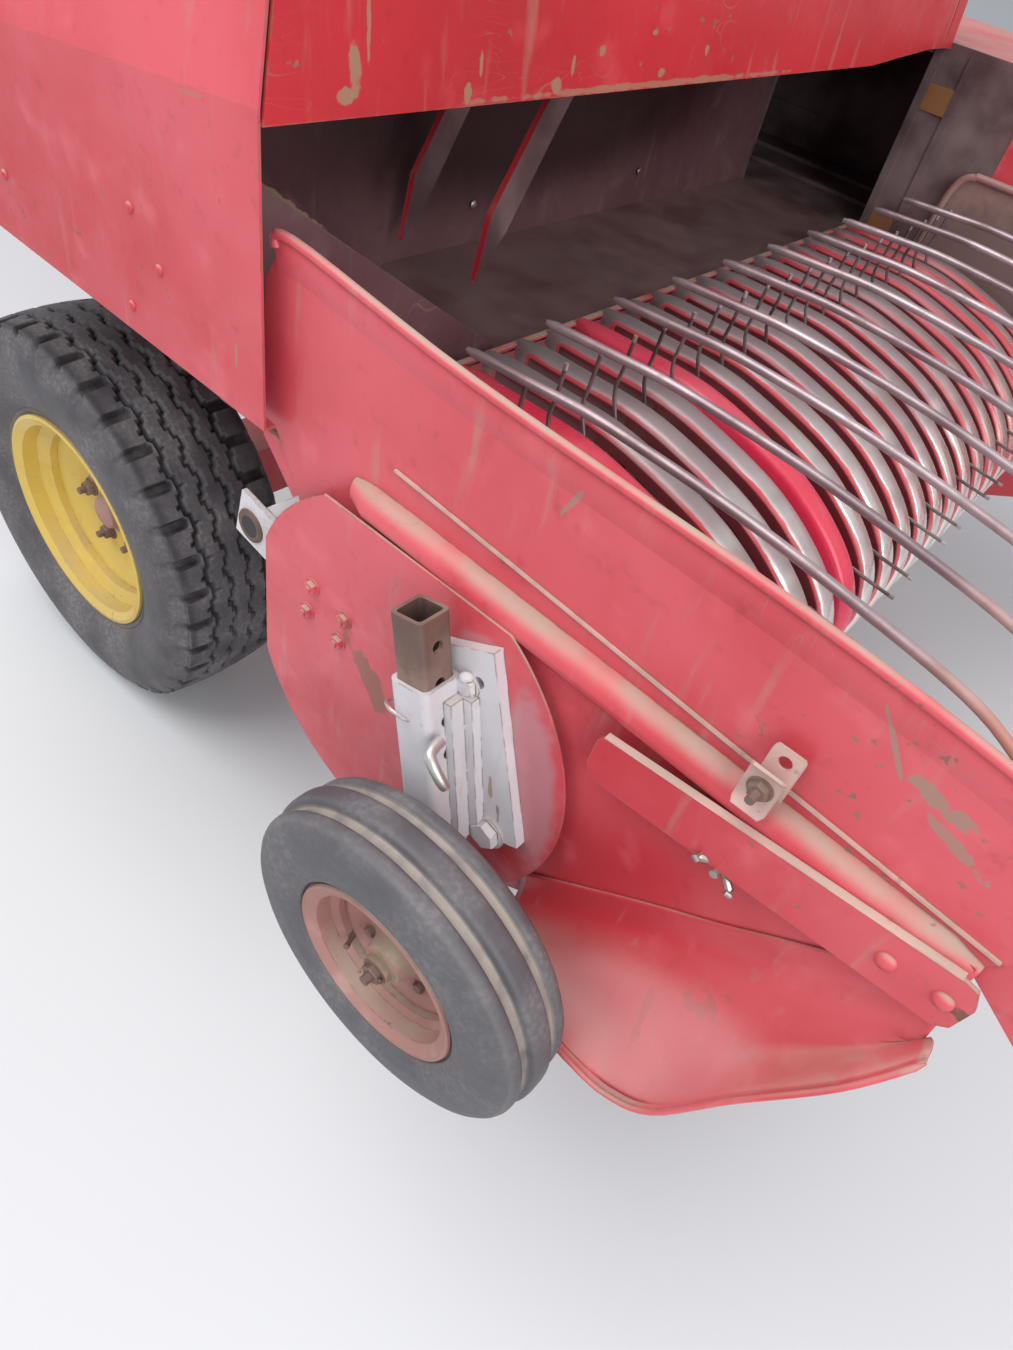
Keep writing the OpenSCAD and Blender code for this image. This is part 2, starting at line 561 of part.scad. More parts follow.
module flywheel() {
    x = chamber_front;
    translate([x, chamber_mid, drive_z]) rotate([0, 90, 0]) difference() {
        union() {
            color(DEEP) difference() {
                rotate_extrude($fn = 72) polygon([[30, 222], [80, 222], [84, 236], [196, 240], [202, 218], [250, 218], [250, 288], [202, 288], [196, 256],
                    [84, 260], [80, 284], [30, 284]]);
                for (a = [0:60:300]) rotate([0, 0, a]) translate([140, 0, 200]) cylinder(h = 120, r = 34);
            }
            color(WORN) {
                translate([0, 0, 204]) cylinder(h = 88, r = 42);
                translate([0, 0, 290]) cylinder(h = 10, r = 70);
                translate([0, 0, 299]) cylinder(h = 26, r = 38);
            }
        }
        translate([0, 0, 190]) cylinder(h = 75, r = pin_r + fine);
    }
}

module flywheel_guard() {
    x = chamber_front + 182;
    color(RED) {
        difference() {
            rod_x(x, chamber_mid, drive_z, 130, 290);
            rod_x(x - 1, chamber_mid, drive_z, 128, 286);
            rod_x(x - 1, chamber_mid, drive_z, 150, 90);
            block(x - 10, x + 400, chamber_mid - 400, chamber_mid + 400, drive_z - 400, drive_z - 150);
        }
        for (y = [chamber_mid - 112 - fine - 12, chamber_mid + 110 + fine]) block(chamber_front + fine, x + 20, y, y + 12, drive_z + 200, drive_z + 264);
        for (y = [chamber_mid - 112 - fine - 12, chamber_mid + 110 + fine]) block(chamber_front + fine, chamber_front + 12, y, y + 12, drive_z + 100, drive_z + 264);
    }
}

module plunger() {
    z0 = floor_z + 14;
    color(STEEL) {
        difference() {
            block(720, 1180, chamber_in + 14, chamber_left - 18, z0, chamber_top - 8);
            block(734, 1200, chamber_in + 30, chamber_left - 34, z0 + 20, chamber_top - 28);
            for (y = [chamber_mid - 75, chamber_mid + 75]) block(710, 760, y - 14, y + 14, z0 - 10, chamber_top);
            for (z = [z0 + 60, z0 + 180]) block(820, 1100, chamber_in, chamber_left, z, z + 90);
        }
        block(733, 1180, chamber_mid - 8, chamber_mid + 8, z0 + 10, chamber_top - 20);
        difference() {
            union() {
                block(1000, 1400, chamber_mid - 26, chamber_mid + 26, z0 + 140, z0 + 200);
                rod_y(1400, z0 + 170, chamber_mid - 34, 68, 44);
            }
            rod_y(1400, z0 + 170, chamber_mid - 40, 80, 24);
        }
        for (x = [800, 1120]) for (y = [chamber_in + 8, chamber_left - 19]) rod_y(x, z0 + 42, y, 11, 30);
    }
}

module bale_chute() {
    hinge = [chamber_back - 30, floor_z - 30];
    color(RED) {
        block(back_edge, hinge[0] - 16, chamber_y - 10, chamber_left + 15, floor_z - 12, floor_z - 9);
        for (y = [chamber_y - 13, chamber_left + 15]) side_plate(y, 3) difference() {
            polygon(concat([[hinge[0] - 40, hinge[1] - 20], [hinge[0] + 20, hinge[1] - 20], [hinge[0] + 20, hinge[1] + 20],
                [hinge[0] - 20, floor_z + 50]], arc([back_edge + 30, floor_z + 20], 30, 90, 180), [[back_edge, floor_z - 12]]));
            translate(hinge) circle(r = 9 + fine);
        }
        for (x = [back_edge + 60, back_edge + 320, back_edge + 520]) block(x, x + 40, chamber_y - 12, chamber_left + 17, floor_z - 26, floor_z - 11);
    }
    color(WORN) {
        for (y = [chamber_y + 60, chamber_mid - 8, chamber_left - 72]) rod_x(back_edge + 4, y, floor_z - 6, chute_len - 60, 7);
        for (y = [chamber_y - 14, chamber_left + 13]) rod_x(back_edge + 30, y + 1, floor_z + 50, chute_len - 90, 6);
    }
}

module meter_wheel() {
    z = chamber_top + 40;
    color(WORN) difference() {
        union() {
            rod_y(meter_x, z, chamber_mid - 6, 12, 80);
            rod_y(meter_x, z, chamber_mid - 20, 40, 22);
            for (a = [0:30:330]) {
                translate([meter_x, chamber_mid + 5, z]) rotate([0, a, 0]) rotate([90, 0, 0])
                    linear_extrude(10) polygon([[70, -14], [105, 0], [70, 14]]);
            }
        }
        rod_y(meter_x, z, chamber_mid - 30, 60, 10 + fine);
    }
}

module needles() {
    r = needle_r;
    color(RED) {
        rod_y(needle_px, needle_pz, chamber_mid - 112, 224, 20);
        translate([needle_px, 0, needle_pz]) rotate([0, 70, 0]) {
            rod_y(r - 4, 0, chamber_mid - 100, 200, 20);
            for (y = [chamber_mid - 90, chamber_mid + 74]) side_plate(y, 16) polygon([[0, -18], [r, -14], [r, 14], [0, 18]]);
        }
        for (y = [chamber_mid - 84, chamber_mid + 68]) side_plate(y, 16)
            polygon(concat([for (a = [-74:8:-2]) [needle_px + (r - 14) * cos(a), needle_pz + (r - 14) * sin(a)]],
                [[needle_px + r * cos(4), needle_pz + r * sin(4)]],
                [for (a = [-2:-8:-74]) [needle_px + (r + 14) * cos(a), needle_pz + (r + 14) * sin(a)]]));
    }
}

module tongue() {
    end = hitch_x - 200;
    color(RED) difference() {
        union() {
            block(drive_x + 40, end, chamber_mid - 50, chamber_mid + 50, 710 + fine, 790 - fine);
            translate([drive_x, chamber_mid, 710 + fine]) cylinder(h = 80 - 2 * fine, r = 60);
            difference() {
                block(hanger_x, hanger_x + 12, chamber_mid - 60, chamber_mid + 60, 785, 1030);
                block(hanger_x - 5, hanger_x + 20, chamber_mid - 30, chamber_mid + 30, 810, 880);
            }
            for (y = [chamber_mid - 50, chamber_mid + 42]) side_plate(y, 8) polygon([[hanger_x - 60, 788], [hanger_x + 2, 788], [hanger_x + 2, 860]]);
            for (y = [chamber_mid - 58, chamber_mid + 50]) side_plate(y, 8) polygon([[end - 200, 716], [end, 716], [end, 784], [end - 160, 784]]);
        }
        translate([drive_x, chamber_mid, 700]) cylinder(h = 100, r = pin_r + fine);
        block(drive_x + 80, end - 20, chamber_mid - 43, chamber_mid + 43, 719, 783);
        translate([drive_x, chamber_mid, drive_z]) rotate([0, 90 + pto_tilt, 0]) translate([0, 0, 600]) cylinder(h = 400, r = 38 + fine);
    }
}

module hitch() {
    color(RED) difference() {
        union() {
            block(hitch_x - 260, hitch_x - 200 - fine, chamber_mid - 50, chamber_mid + 50, hitch_z - 60, 710);
            for (y = [chamber_mid - 50, chamber_mid + 40]) side_plate(y, 10) polygon([[hitch_x - 202, hitch_z - 45], [hitch_x - 80, hitch_z - 45],
                [hitch_x - 80, hitch_z + 45], [hitch_x - 202, hitch_z + 130]]);
            for (z = [hitch_z - 45, hitch_z + 25]) {
                block(hitch_x - 210, hitch_x, chamber_mid - 45, chamber_mid + 45, z, z + 20);
                translate([hitch_x, chamber_mid, z]) cylinder(h = 20, r = 45);
            }
            for (x = [hitch_x - 280]) block(x, x + 22, chamber_mid - 60, chamber_mid + 60, hitch_z + 60, 700);
        }
        translate([hitch_x, chamber_mid, hitch_z - 100]) cylinder(h = 200, r = hitch_r);
    }
}

module jack_tube() {
    color(GREY) {
        difference() {
            union() {
                translate([jack_x, jack_y, 520]) cylinder(h = 680, r = 36);
                block(jack_x - 35, jack_x + 35, chamber_mid + 50 + fine, jack_y, 712, 788);
                translate([jack_x, jack_y, 520]) cylinder(h = 16, r = 41);
                translate([jack_x, jack_y, 1150]) cylinder(h = 30, r = 41);
            }
            translate([jack_x, jack_y, 500]) cylinder(h = 670, r = 30 + fine);
        }
        translate([jack_x, jack_y, 1199]) cylinder(h = 31, r = 20);
        block(jack_x - 8, jack_x + 8, jack_y, jack_y + 130, 1214, 1226);
        translate([jack_x, jack_y + 122, 1222]) cylinder(h = 76, r = 9);
        translate([jack_x, jack_y + 122, 1236]) cylinder(h = 66, r = 14);
    }
}

module jack_leg() {
    color(GREY) {
        translate([jack_x, jack_y, 0]) cylinder(h = 860, r = 30);
        difference() {
            translate([jack_x, jack_y, 0]) cylinder(h = 8, r = 100);
            for (a = [0:90:270]) translate([jack_x, jack_y, -1]) rotate([0, 0, a + 45]) translate([76, 0, 0]) cylinder(h = 10, r = 8);
        }
        for (a = [0:90:270]) translate([jack_x, jack_y, 0]) rotate([0, 0, a]) rotate([90, 0, 0]) translate([0, 0, -3])
            linear_extrude(6) polygon([[28, 6], [80, 6], [28, 70]]);
    }
}

module pto_shaft() {
    translate([drive_x, chamber_mid, drive_z]) rotate([0, 90 + pto_tilt, 0]) {
        color(RUBBER) {
            rotate_extrude() polygon([[0, 46], [66, 46], [74, 62], [66, 110], [52, 150], [38, 170], [38, 560], [44, 562], [44, 586],
                [38, 588], [38, 1010], [44, 1012], [44, 1036], [38, 1038], [38, 1066], [52, 1086], [66, 1126], [74, 1170], [66, 1188], [0, 1188]]);
        }
        color(WORN) {
            for (z = [[20, 30], [1187, 30]]) translate([0, 0, z[0]]) cylinder(h = z[1], r = 30);
            translate([0, 0, 1216]) cylinder(h = 74, r = 26);
            for (z = [6, 1240]) {
                translate([-24, -24, z]) cube([48, 48, 34]);
                translate([0, -46, z + 17]) rotate([-90, 0, 0]) cylinder(h = 92, r = 14);
            }
        }
    }
}

// Tyre section turned about the wheel axis, the wheel lying on its inner side
module big_tyre() {
    w = tyre_w;
    r = tyre_d / 2;
    color(RUBBER) rotate_extrude($fn = 72) polygon([
        [rim_d / 2 - 16, 34], [rim_d / 2 + 2, 32], [rim_d / 2 + 14, 22], [r - 110, 6], [r - 60, 0], [r - 24, 22], [r - 9, 34],
        [r - 9, w - 34], [r - 24, w - 22], [r - 60, w], [r - 110, w - 6], [rim_d / 2 + 14, w - 22], [rim_d / 2 + 2, w - 32], [rim_d / 2 - 16, w - 34]]);
    color(RUBBER) for (i = [0:35]) rotate([0, 0, i * 10]) {
        translate([r - 12, -14, 24]) cube([12, 28, 52]);
        rotate([0, 0, 5]) translate([r - 12, -14, w - 76]) cube([12, 28, 52]);
    }
}

module big_rim() {
    w = tyre_w;
    nave = 112;
    seat = rim_d / 2 - 16 - fine;
    color(YELLOW) {
        rotate_extrude($fn = 72) polygon([[rim_d / 2, 22], [rim_d / 2, 31.5], [seat, 33.5], [seat, 62], [seat - 22, 76], [seat - 22, w - 96],
            [seat, w - 80], [seat, w - 33.5], [rim_d / 2, w - 31.5], [rim_d / 2, w - 22], [rim_d / 2 - 7, w - 21], [seat - 7, w - 30], [seat - 7, w - 82],
            [seat - 29, w - 98], [seat - 29, 74], [seat - 7, 60], [seat - 7, 30], [rim_d / 2 - 7, 21]]);
        translate([0, 0, nave]) rotate_extrude($fn = 72) polygon([[45, 0], [100, 0], [126, 14], [seat - 27, 22], [seat - 27, 30], [122, 22], [96, 8], [45, 8]]);
    }
    color(DULL) difference() {
        union() {
            rotate_extrude() polygon([[0, 0], [44, 0], [44, 60], [50, 66], [50, nave + 20], [44, 146], [30, 156], [0, 156]]);
            translate([0, 0, nave - 12]) cylinder(h = 12 - fine, r = 85);
        }
        translate([0, 0, -1]) cylinder(h = 131, r = spindle_r + fine);
    }
}

module wheel_right_place() {
    translate([0, tyre_w, axle_z]) rotate([90, 0, 0]) children();
}

module wheel_left_place() {
    translate([0, left_face - tyre_w, axle_z]) rotate([-90, 0, 0]) children();
}

module pickup_frame() {
    color(RED) {
        rod_y(frame_tube[0], frame_tube[1], end_plate_y + 1, flare_left_y - end_plate_y - 1 - fine, frame_tube_r);
        for (y = [345, chamber_y - 110]) {
            side_plate(y, 10) union() {
                polygon([[pickup_px - 30, pickup_pz - 14], [pickup_px + 32, pickup_pz + 10], [frame_tube[0] + 30, frame_tube[1] + 10], [frame_tube[0] - 28, frame_tube[1] - 10]]);
                translate([pickup_px, pickup_pz]) circle(r = 34);
            }
        }
        rod_y(pickup_px, pickup_pz, 346, 40, pivot_r);
        rod_y(pickup_px, pickup_pz, chamber_y - 134, 30, pivot_r);
        block(664, 674, end_plate_y + 1, band_last + band_w / 2 + 2, 966, 971 - fine);
        difference() {
            union() {
                side_plate(end_plate_y, 6) union() {
                    translate([reel_x, reel_z]) circle(r = 230);
                    polygon([[frame_tube[0] - 40, frame_tube[1] - 30], [frame_tube[0] + 30, frame_tube[1] - 50], [reel_x, reel_z - 225],
                        [1150, 880], [1150, 900], [760, 900], [700, 972], [662, 972], [694, 850], [688, 780], [frame_tube[0] - 30, frame_tube[1] + 40]]);
                }
                rod_y(reel_x, reel_z, cover_y + sheet + fine, 50, 45);
            }
            rod_y(reel_x, reel_z, cover_y + sheet + 4, 60, 22 + fine);
        }
    }
}

BAND = [[672, 976], [900, 976], [1000, 957], [1095, 927], [1172, 882], [1222, 835], [1247, 785],
    [1252, 735], [1240, 680], [1210, 625], [1165, 580], [1110, 548], [1050, 534], [960, 526], [850, 528], [740, 545],
    [frame_tube[0] + 8, frame_tube[1] - frame_tube_r - 4.3]];

module stripper_bands() {
    color(WORN) for (i = [0:band_n - 1]) {
        side_plate(band_y0 + i * pitch - band_w / 2, band_w) polygon(strip(BAND, 5));
    }
}

module flare_right() {
    lip = [[716, 1202], [960, 1176], [1280, 1162], [1460, 1148], [1600, 1123]];
    color(RED) {
        side_plate(flare_y, sheet) polygon(concat([[664, 985], [672, 1150], [694, 1186]], lip,
            [[1640, 1080], [1590, 1030], [1549, 960], [1540, 880], [1400, 880], [1150, 899], [740, 899], [690, 985]]));
        rolled(lip, flare_y + 3, 10);
        translate([828, 0, 1010]) rotate([0, atan2(10, 721), 0]) rotate([90, 0, 90]) linear_extrude(721)
            polygon([[flare_y + 1, 0], [flare_y - 9, -1], [flare_y - 17, -5], [flare_y - 22, -13], [flare_y - 22, -24], [flare_y + 1, -24]]);
        translate([862, 0, 1026]) rotate([0, atan2(10, 690), 0]) rotate([90, 0, 90]) linear_extrude(680)
            polygon([[flare_y + 1, 0], [flare_y - 2, -2], [flare_y - 2, -16], [flare_y + 1, -18]]);
        difference() {
            side_plate(flare_y + 2, 10) union() {
                polygon([[1400, 1060], [1440, 1100], [guard_x + 20, guard_z + 30], [guard_x - 20, guard_z - 30]]);
                translate([guard_x, guard_z]) circle(r = 36);
            }
            rod_y(guard_x, guard_z, flare_y, 20, 16 + fine);
        }
    }
}

module cam_cover() {
    color(RED) side_plate(cover_y, sheet) intersection() {
        union() {
            translate([939, 755]) circle(r = 257);
            polygon([[813, 990], [788, 957], [745, 715], [830, 600], [890, 530], [939, 600], [939, 990]]);
        }
        polygon([[700, 400], [1300, 400], [1300, 974], [813, 974], [700, 970]]);
    }
}

module lower_shield() {
    crease = [[1169, 590], [1228, 640], [1287, 689], [1336, 728], [1385, 765], [1460, 828], [1530, 885], [1564, 900]];
    lip = [[1180, -84, 566], [1245, -118, 574], [1310, -138, 598], [1369, -142, 602], [1426, -138, 632], [1470, -120, 732], [1515, -94, 824], [1561, -66, 892]];
    back = [for (c = crease) [c[0], flare_y - 7, c[1]]];
    belly = [for (i = [0:len(lip) - 1]) (lip[i] + back[i]) / 2 + [0, -10, -8] * sin(180 * (i + 0.6) / len(lip))];
    color(RED) {
        side_plate(flare_y - 7, sheet) difference() {
            polygon(concat([[1150, 975 - fine], [1552, 975 - fine]], [for (i = [len(crease) - 1:-1:0]) crease[i]], [[1100, 560]]));
            translate([939, 755]) circle(r = 200);
        }
        for (q = [[1240, 932], [1400, 940], [1520, 944]]) rod_y(q[0], q[1], flare_y - 5, 5 - fine, 14);
        skin([lip, belly, back], [0, sheet, 0]);
    }
}

module strap() {
    y = flare_y - 7 - fine;
    color(RED) {
        side_plate(y - 24, 6) polygon([[1204, 938], [1553, 970], [1560, 930], [1212, 892]]);
        side_plate(y - 24, 17) polygon([[1204, 938], [1553, 970], [1553, 965], [1204, 933]]);
        for (q = [[1240, 915], [1400, 932], [1530, 945]]) rod_y(q[0], q[1], y - 19, 19, 10);
    }
}

module flare_left() {
    lip = [[818, 942], [829, 1056], [835, 1098], [845, 1120], [866, 1132], [901, 1135], [1160, 1134], [1400, 1128], [1600, 1092]];
    color(RED) {
        side_plate(flare_left_y, sheet) difference() {
            polygon(concat([[555, 555], [555, 640], [700, 820], [806, 915]], lip,
                [[1640, 1080], [1600, 1000], [1500, 800], [1300, 600], [1000, 450], [760, 490]]));
            translate([reel_x, reel_z]) circle(r = 22 + fine);
        }
        rolled(lip, flare_left_y + 2, 10);
        for (a = [20:70:160]) translate([reel_x, flare_left_y + 1, reel_z]) rotate([0, -a, 0]) translate([60, -8, -12]) cube([170, 8, 24]);
        difference() {
            side_plate(flare_left_y - 9, 10) union() {
                polygon([[1400, 1060], [1440, 1100], [guard_x + 20, guard_z + 30], [guard_x - 20, guard_z - 30]]);
                translate([guard_x, guard_z]) circle(r = 36);
            }
            rod_y(guard_x, guard_z, flare_left_y - 20, 40, 16 + fine);
        }
    }
}

module lift_arm() {
    y = end_plate_y - fine - 8;
    color(GREY) difference() {
        union() {
            side_plate(y, 8) union() {
                polygon([[612, 822], [650, 862], [800, 745], [770, 700]]);
                translate([634, 840]) circle(r = 28);
            }
            rod_y(634, 840, y - 10, 40, 22);
        }
        rod_y(634, 840, y - 20, 60, 13);
    }
}

module gauge_bracket() {
    y = cover_y - fine - 14;
    color(GREY) {
        side_plate(y, 14) difference() {
            polygon([[993, 913], [1069, 955], [1161, 714], [1103, 681]]);
            translate([1060, 905]) circle(r = 7);
        }
        translate([leg_x, y, leg_z]) rotate([0, -leg_tilt, 0]) {
            difference() {
                xy_plate(-40, 240) polygon(rounded(-27, 27, -54, 0.5, 9));
                xy_plate(-60, 300) polygon(rounded(-22, 22, -49, -5, 6));
                for (z = [110, 155]) rod_x(-40, -27, z, 80, 7);
            }
            translate([26, -30, -20]) cube([12, 31, 200]);
            translate([36, -12, -20]) cube([14, 12.5, 200]);
        }
    }
}

module gauge_leg() {
    y = cover_y - fine - 14;
    color(RUST) translate([leg_x, y, leg_z]) rotate([0, -leg_tilt, 0]) difference() {
        xy_plate(-120, 400) polygon(rounded(-22 + fine, 22 - fine, -49 + fine, -5 - fine, 6));
        xy_plate(-100, 400) polygon(rounded(-17, 17, -44, -10, 4));
        for (z = [20:45:270]) rod_x(-40, -27, z, 80, 7);
    }
    color(RUST) {
        side_plate(y - 40, 30) polygon([[1075, 560], [1110, 560], [1155, 600], [1155, 640], [1110, 645], [1070, 620]]);
        rod_y(gauge_x, gauge_z, gauge_face + 34, 155, 16.7);
    }
}

module reel_core() {
    color(DULL) {
        rod_y(reel_x, reel_z, cover_y + sheet + 5, flare_left_y - cover_y - 2 * sheet, 22);
        for (y = [16, band_y0 + 10.5 * pitch - 5, flare_left_y - 20]) rod_y(reel_x, reel_z, y, 10, 170);
        for (a = [0:360 / bar_n:359]) translate([reel_x, 0, reel_z]) rotate([0, -a, 0])
            rod_y(176, 0, 17, flare_left_y - 28, 14);
    }
}

module reel_tines() {
    color(STEEL) for (a = [0:360 / bar_n:359]) translate([reel_x, 0, reel_z]) rotate([0, -a, 0])
        for (i = [0:band_n - 2]) {
            y = band_y0 + (i + 0.5) * pitch;
            bar([190 + fine, y, 0], [270, y, 8], 3, 6);
            bar([270, y, 8], [tine_r, y, -18], 3, 6);
        }
}

module gauge_tyre() {
    r = gauge_d / 2;
    w = gauge_w;
    color(RUBBER) rotate_extrude($fn = 60) polygon([[104, 17], [116, 12.5], [122, 8], [150, 0], [r - 20, 6], [r - 4, 22], [r, 28],
        [r, 40], [r - 6, 42], [r - 6, 48], [r, 50], [r, w - 50], [r - 6, w - 48], [r - 6, w - 42], [r, w - 40],
        [r, w - 28], [r - 4, w - 22], [r - 20, w - 6], [150, w], [122, w - 8], [116, w - 12.5], [104, w - 17]]);
}

module gauge_rim() {
    w = gauge_w;
    color(DULL) difference() {
        union() {
            rotate_extrude() polygon([[116, 8], [116, 11], [104 - fine, 16], [104 - fine, w - 16], [116, w - 11], [116, w - 8],
                [112, w - 7], [97, w - 14], [97, 14], [112, 7]]);
            rotate_extrude() polygon([[98, 40], [84, 40], [60, 54], [26, 58], [26, 66], [62, 62], [86, 48], [98, 48]]);
            rotate_extrude() polygon([[0, 5], [24, 5], [30, 12], [30, 84], [24, 92], [20, 100], [0, 100]]);
        }
        translate([0, 0, -1]) cylinder(h = 80, r = 17);
    }
}

module gauge_place() {
    translate([gauge_x, gauge_face + gauge_w, gauge_z]) rotate([90, 0, 0]) children();
}

module wind_guard() {
    profile = [[800, 1088], [1000, 1098], [1170, 1090], [1310, 1074], [1430, 1054], [1500, 1025], [1600, 970], [guard_x, guard_z + 10]];
    color(STEEL) for (i = [0:9]) {
        y = band_y0 + 83 + i * 2 * pitch;
        for (k = [0:len(profile) - 2]) bar([profile[k][0], y, profile[k][1]], [profile[k + 1][0], y, profile[k + 1][1]], 6, 8);
    }
    color(RED) rod_y(guard_x, guard_z, flare_y + 3, flare_left_y - flare_y - 4, 16);
}

// Everything is moved so that the origin is on the ground at the middle of the outline
module placed() {
    translate(datum) children();
}

placed() main_frame();
placed() bale_chamber();
placed() guide_blocks();
placed() tension_rails();
placed() feeder_floor();
placed() feeder_wall();
placed() side_shield();
placed() front_panel();
placed() feeder_rail();
placed() feeder_fingers();
placed() knotters();
placed() knotter_cover();
placed() twine_box();
placed() twine_lid();
placed() gearbox();
placed() flywheel();
placed() flywheel_guard();
placed() plunger();
placed() bale_chute();
placed() meter_wheel();
placed() needles();
placed() tongue();
placed() hitch();
placed() jack_tube();
placed() jack_leg();
placed() pto_shaft();
placed() wheel_right_place() big_tyre();  // tyre_right
placed() wheel_right_place() big_rim();  // rim_right
placed() wheel_left_place() big_tyre();  // tyre_left
placed() wheel_left_place() big_rim();  // rim_left
placed() pickup_frame();
placed() stripper_bands();
placed() flare_right();
placed() cam_cover();
placed() lower_shield();
placed() strap();
placed() flare_left();
placed() lift_arm();
placed() gauge_bracket();
placed() gauge_leg();
placed() reel_core();
placed() reel_tines();
placed() gauge_place() gauge_tyre();
placed() gauge_place() gauge_rim();
placed() wind_guard();
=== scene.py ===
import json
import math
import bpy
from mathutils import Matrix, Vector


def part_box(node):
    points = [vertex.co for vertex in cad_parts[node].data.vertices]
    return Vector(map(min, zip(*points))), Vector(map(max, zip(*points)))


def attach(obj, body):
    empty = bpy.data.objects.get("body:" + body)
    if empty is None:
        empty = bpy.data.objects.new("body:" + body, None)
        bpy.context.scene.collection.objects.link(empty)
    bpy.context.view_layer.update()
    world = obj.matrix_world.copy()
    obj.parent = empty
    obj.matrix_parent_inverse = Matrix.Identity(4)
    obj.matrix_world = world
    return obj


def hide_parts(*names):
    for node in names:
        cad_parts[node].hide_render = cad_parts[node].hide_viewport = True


bl_info = {
    "name": "Square Baler",
    "version": (1, 0, 0),
    "blender": (4, 5, 0),
    "location": "View3D > Sidebar > Baler",
    "description": "Dresses the square baler: paint, tyres, tines, bands, rods and fasteners",
    "category": "Object",
}

import bmesh
import bpy
from bpy.props import FloatProperty, FloatVectorProperty, IntProperty, PointerProperty
from mathutils import Matrix, Vector

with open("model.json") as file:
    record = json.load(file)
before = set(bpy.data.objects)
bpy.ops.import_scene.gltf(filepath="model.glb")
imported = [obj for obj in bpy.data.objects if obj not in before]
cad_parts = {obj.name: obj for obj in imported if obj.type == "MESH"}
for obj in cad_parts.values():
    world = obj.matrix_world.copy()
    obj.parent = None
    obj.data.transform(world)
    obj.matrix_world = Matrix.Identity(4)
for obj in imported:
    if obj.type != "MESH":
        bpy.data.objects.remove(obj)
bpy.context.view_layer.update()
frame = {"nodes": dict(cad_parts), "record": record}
NODES = frame["nodes"]

# The right tyre gives the machine's own zero: under its axle, at its outer face, on the ground
TYRE_LOW, TYRE_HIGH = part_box("tyre_right")
ZERO = Vector(((TYRE_LOW[0] + TYRE_HIGH[0]) / 2, TYRE_LOW[1], 0.0))


def at(x, y, z):
    """A place on the machine, given in millimetres from its own zero."""
    return ZERO + Vector((x, y, z)) * 0.001


# Millimetres: x and z of the reel's and the wind guard's axles, and y of the faces turned to the right
REEL = (950, 745)
GUARD = (1660, 930)
FLARE_FACE = -38
DISC_FACE = -63
STRAP_FACE = -69.3
GREY_FACE = -77.3

# Metres
FIRST_BAND = 0.057
BAND_PITCH = 0.071
ROAD_RADIUS = 0.38
ROAD_WIDTH = 0.264
GAUGE_RADIUS = 0.206

ROAD_WHEELS = (("tyre_right", "rim_right", "wheel_right", 1), ("tyre_left", "rim_left", "wheel_left", -1))


# Finishes


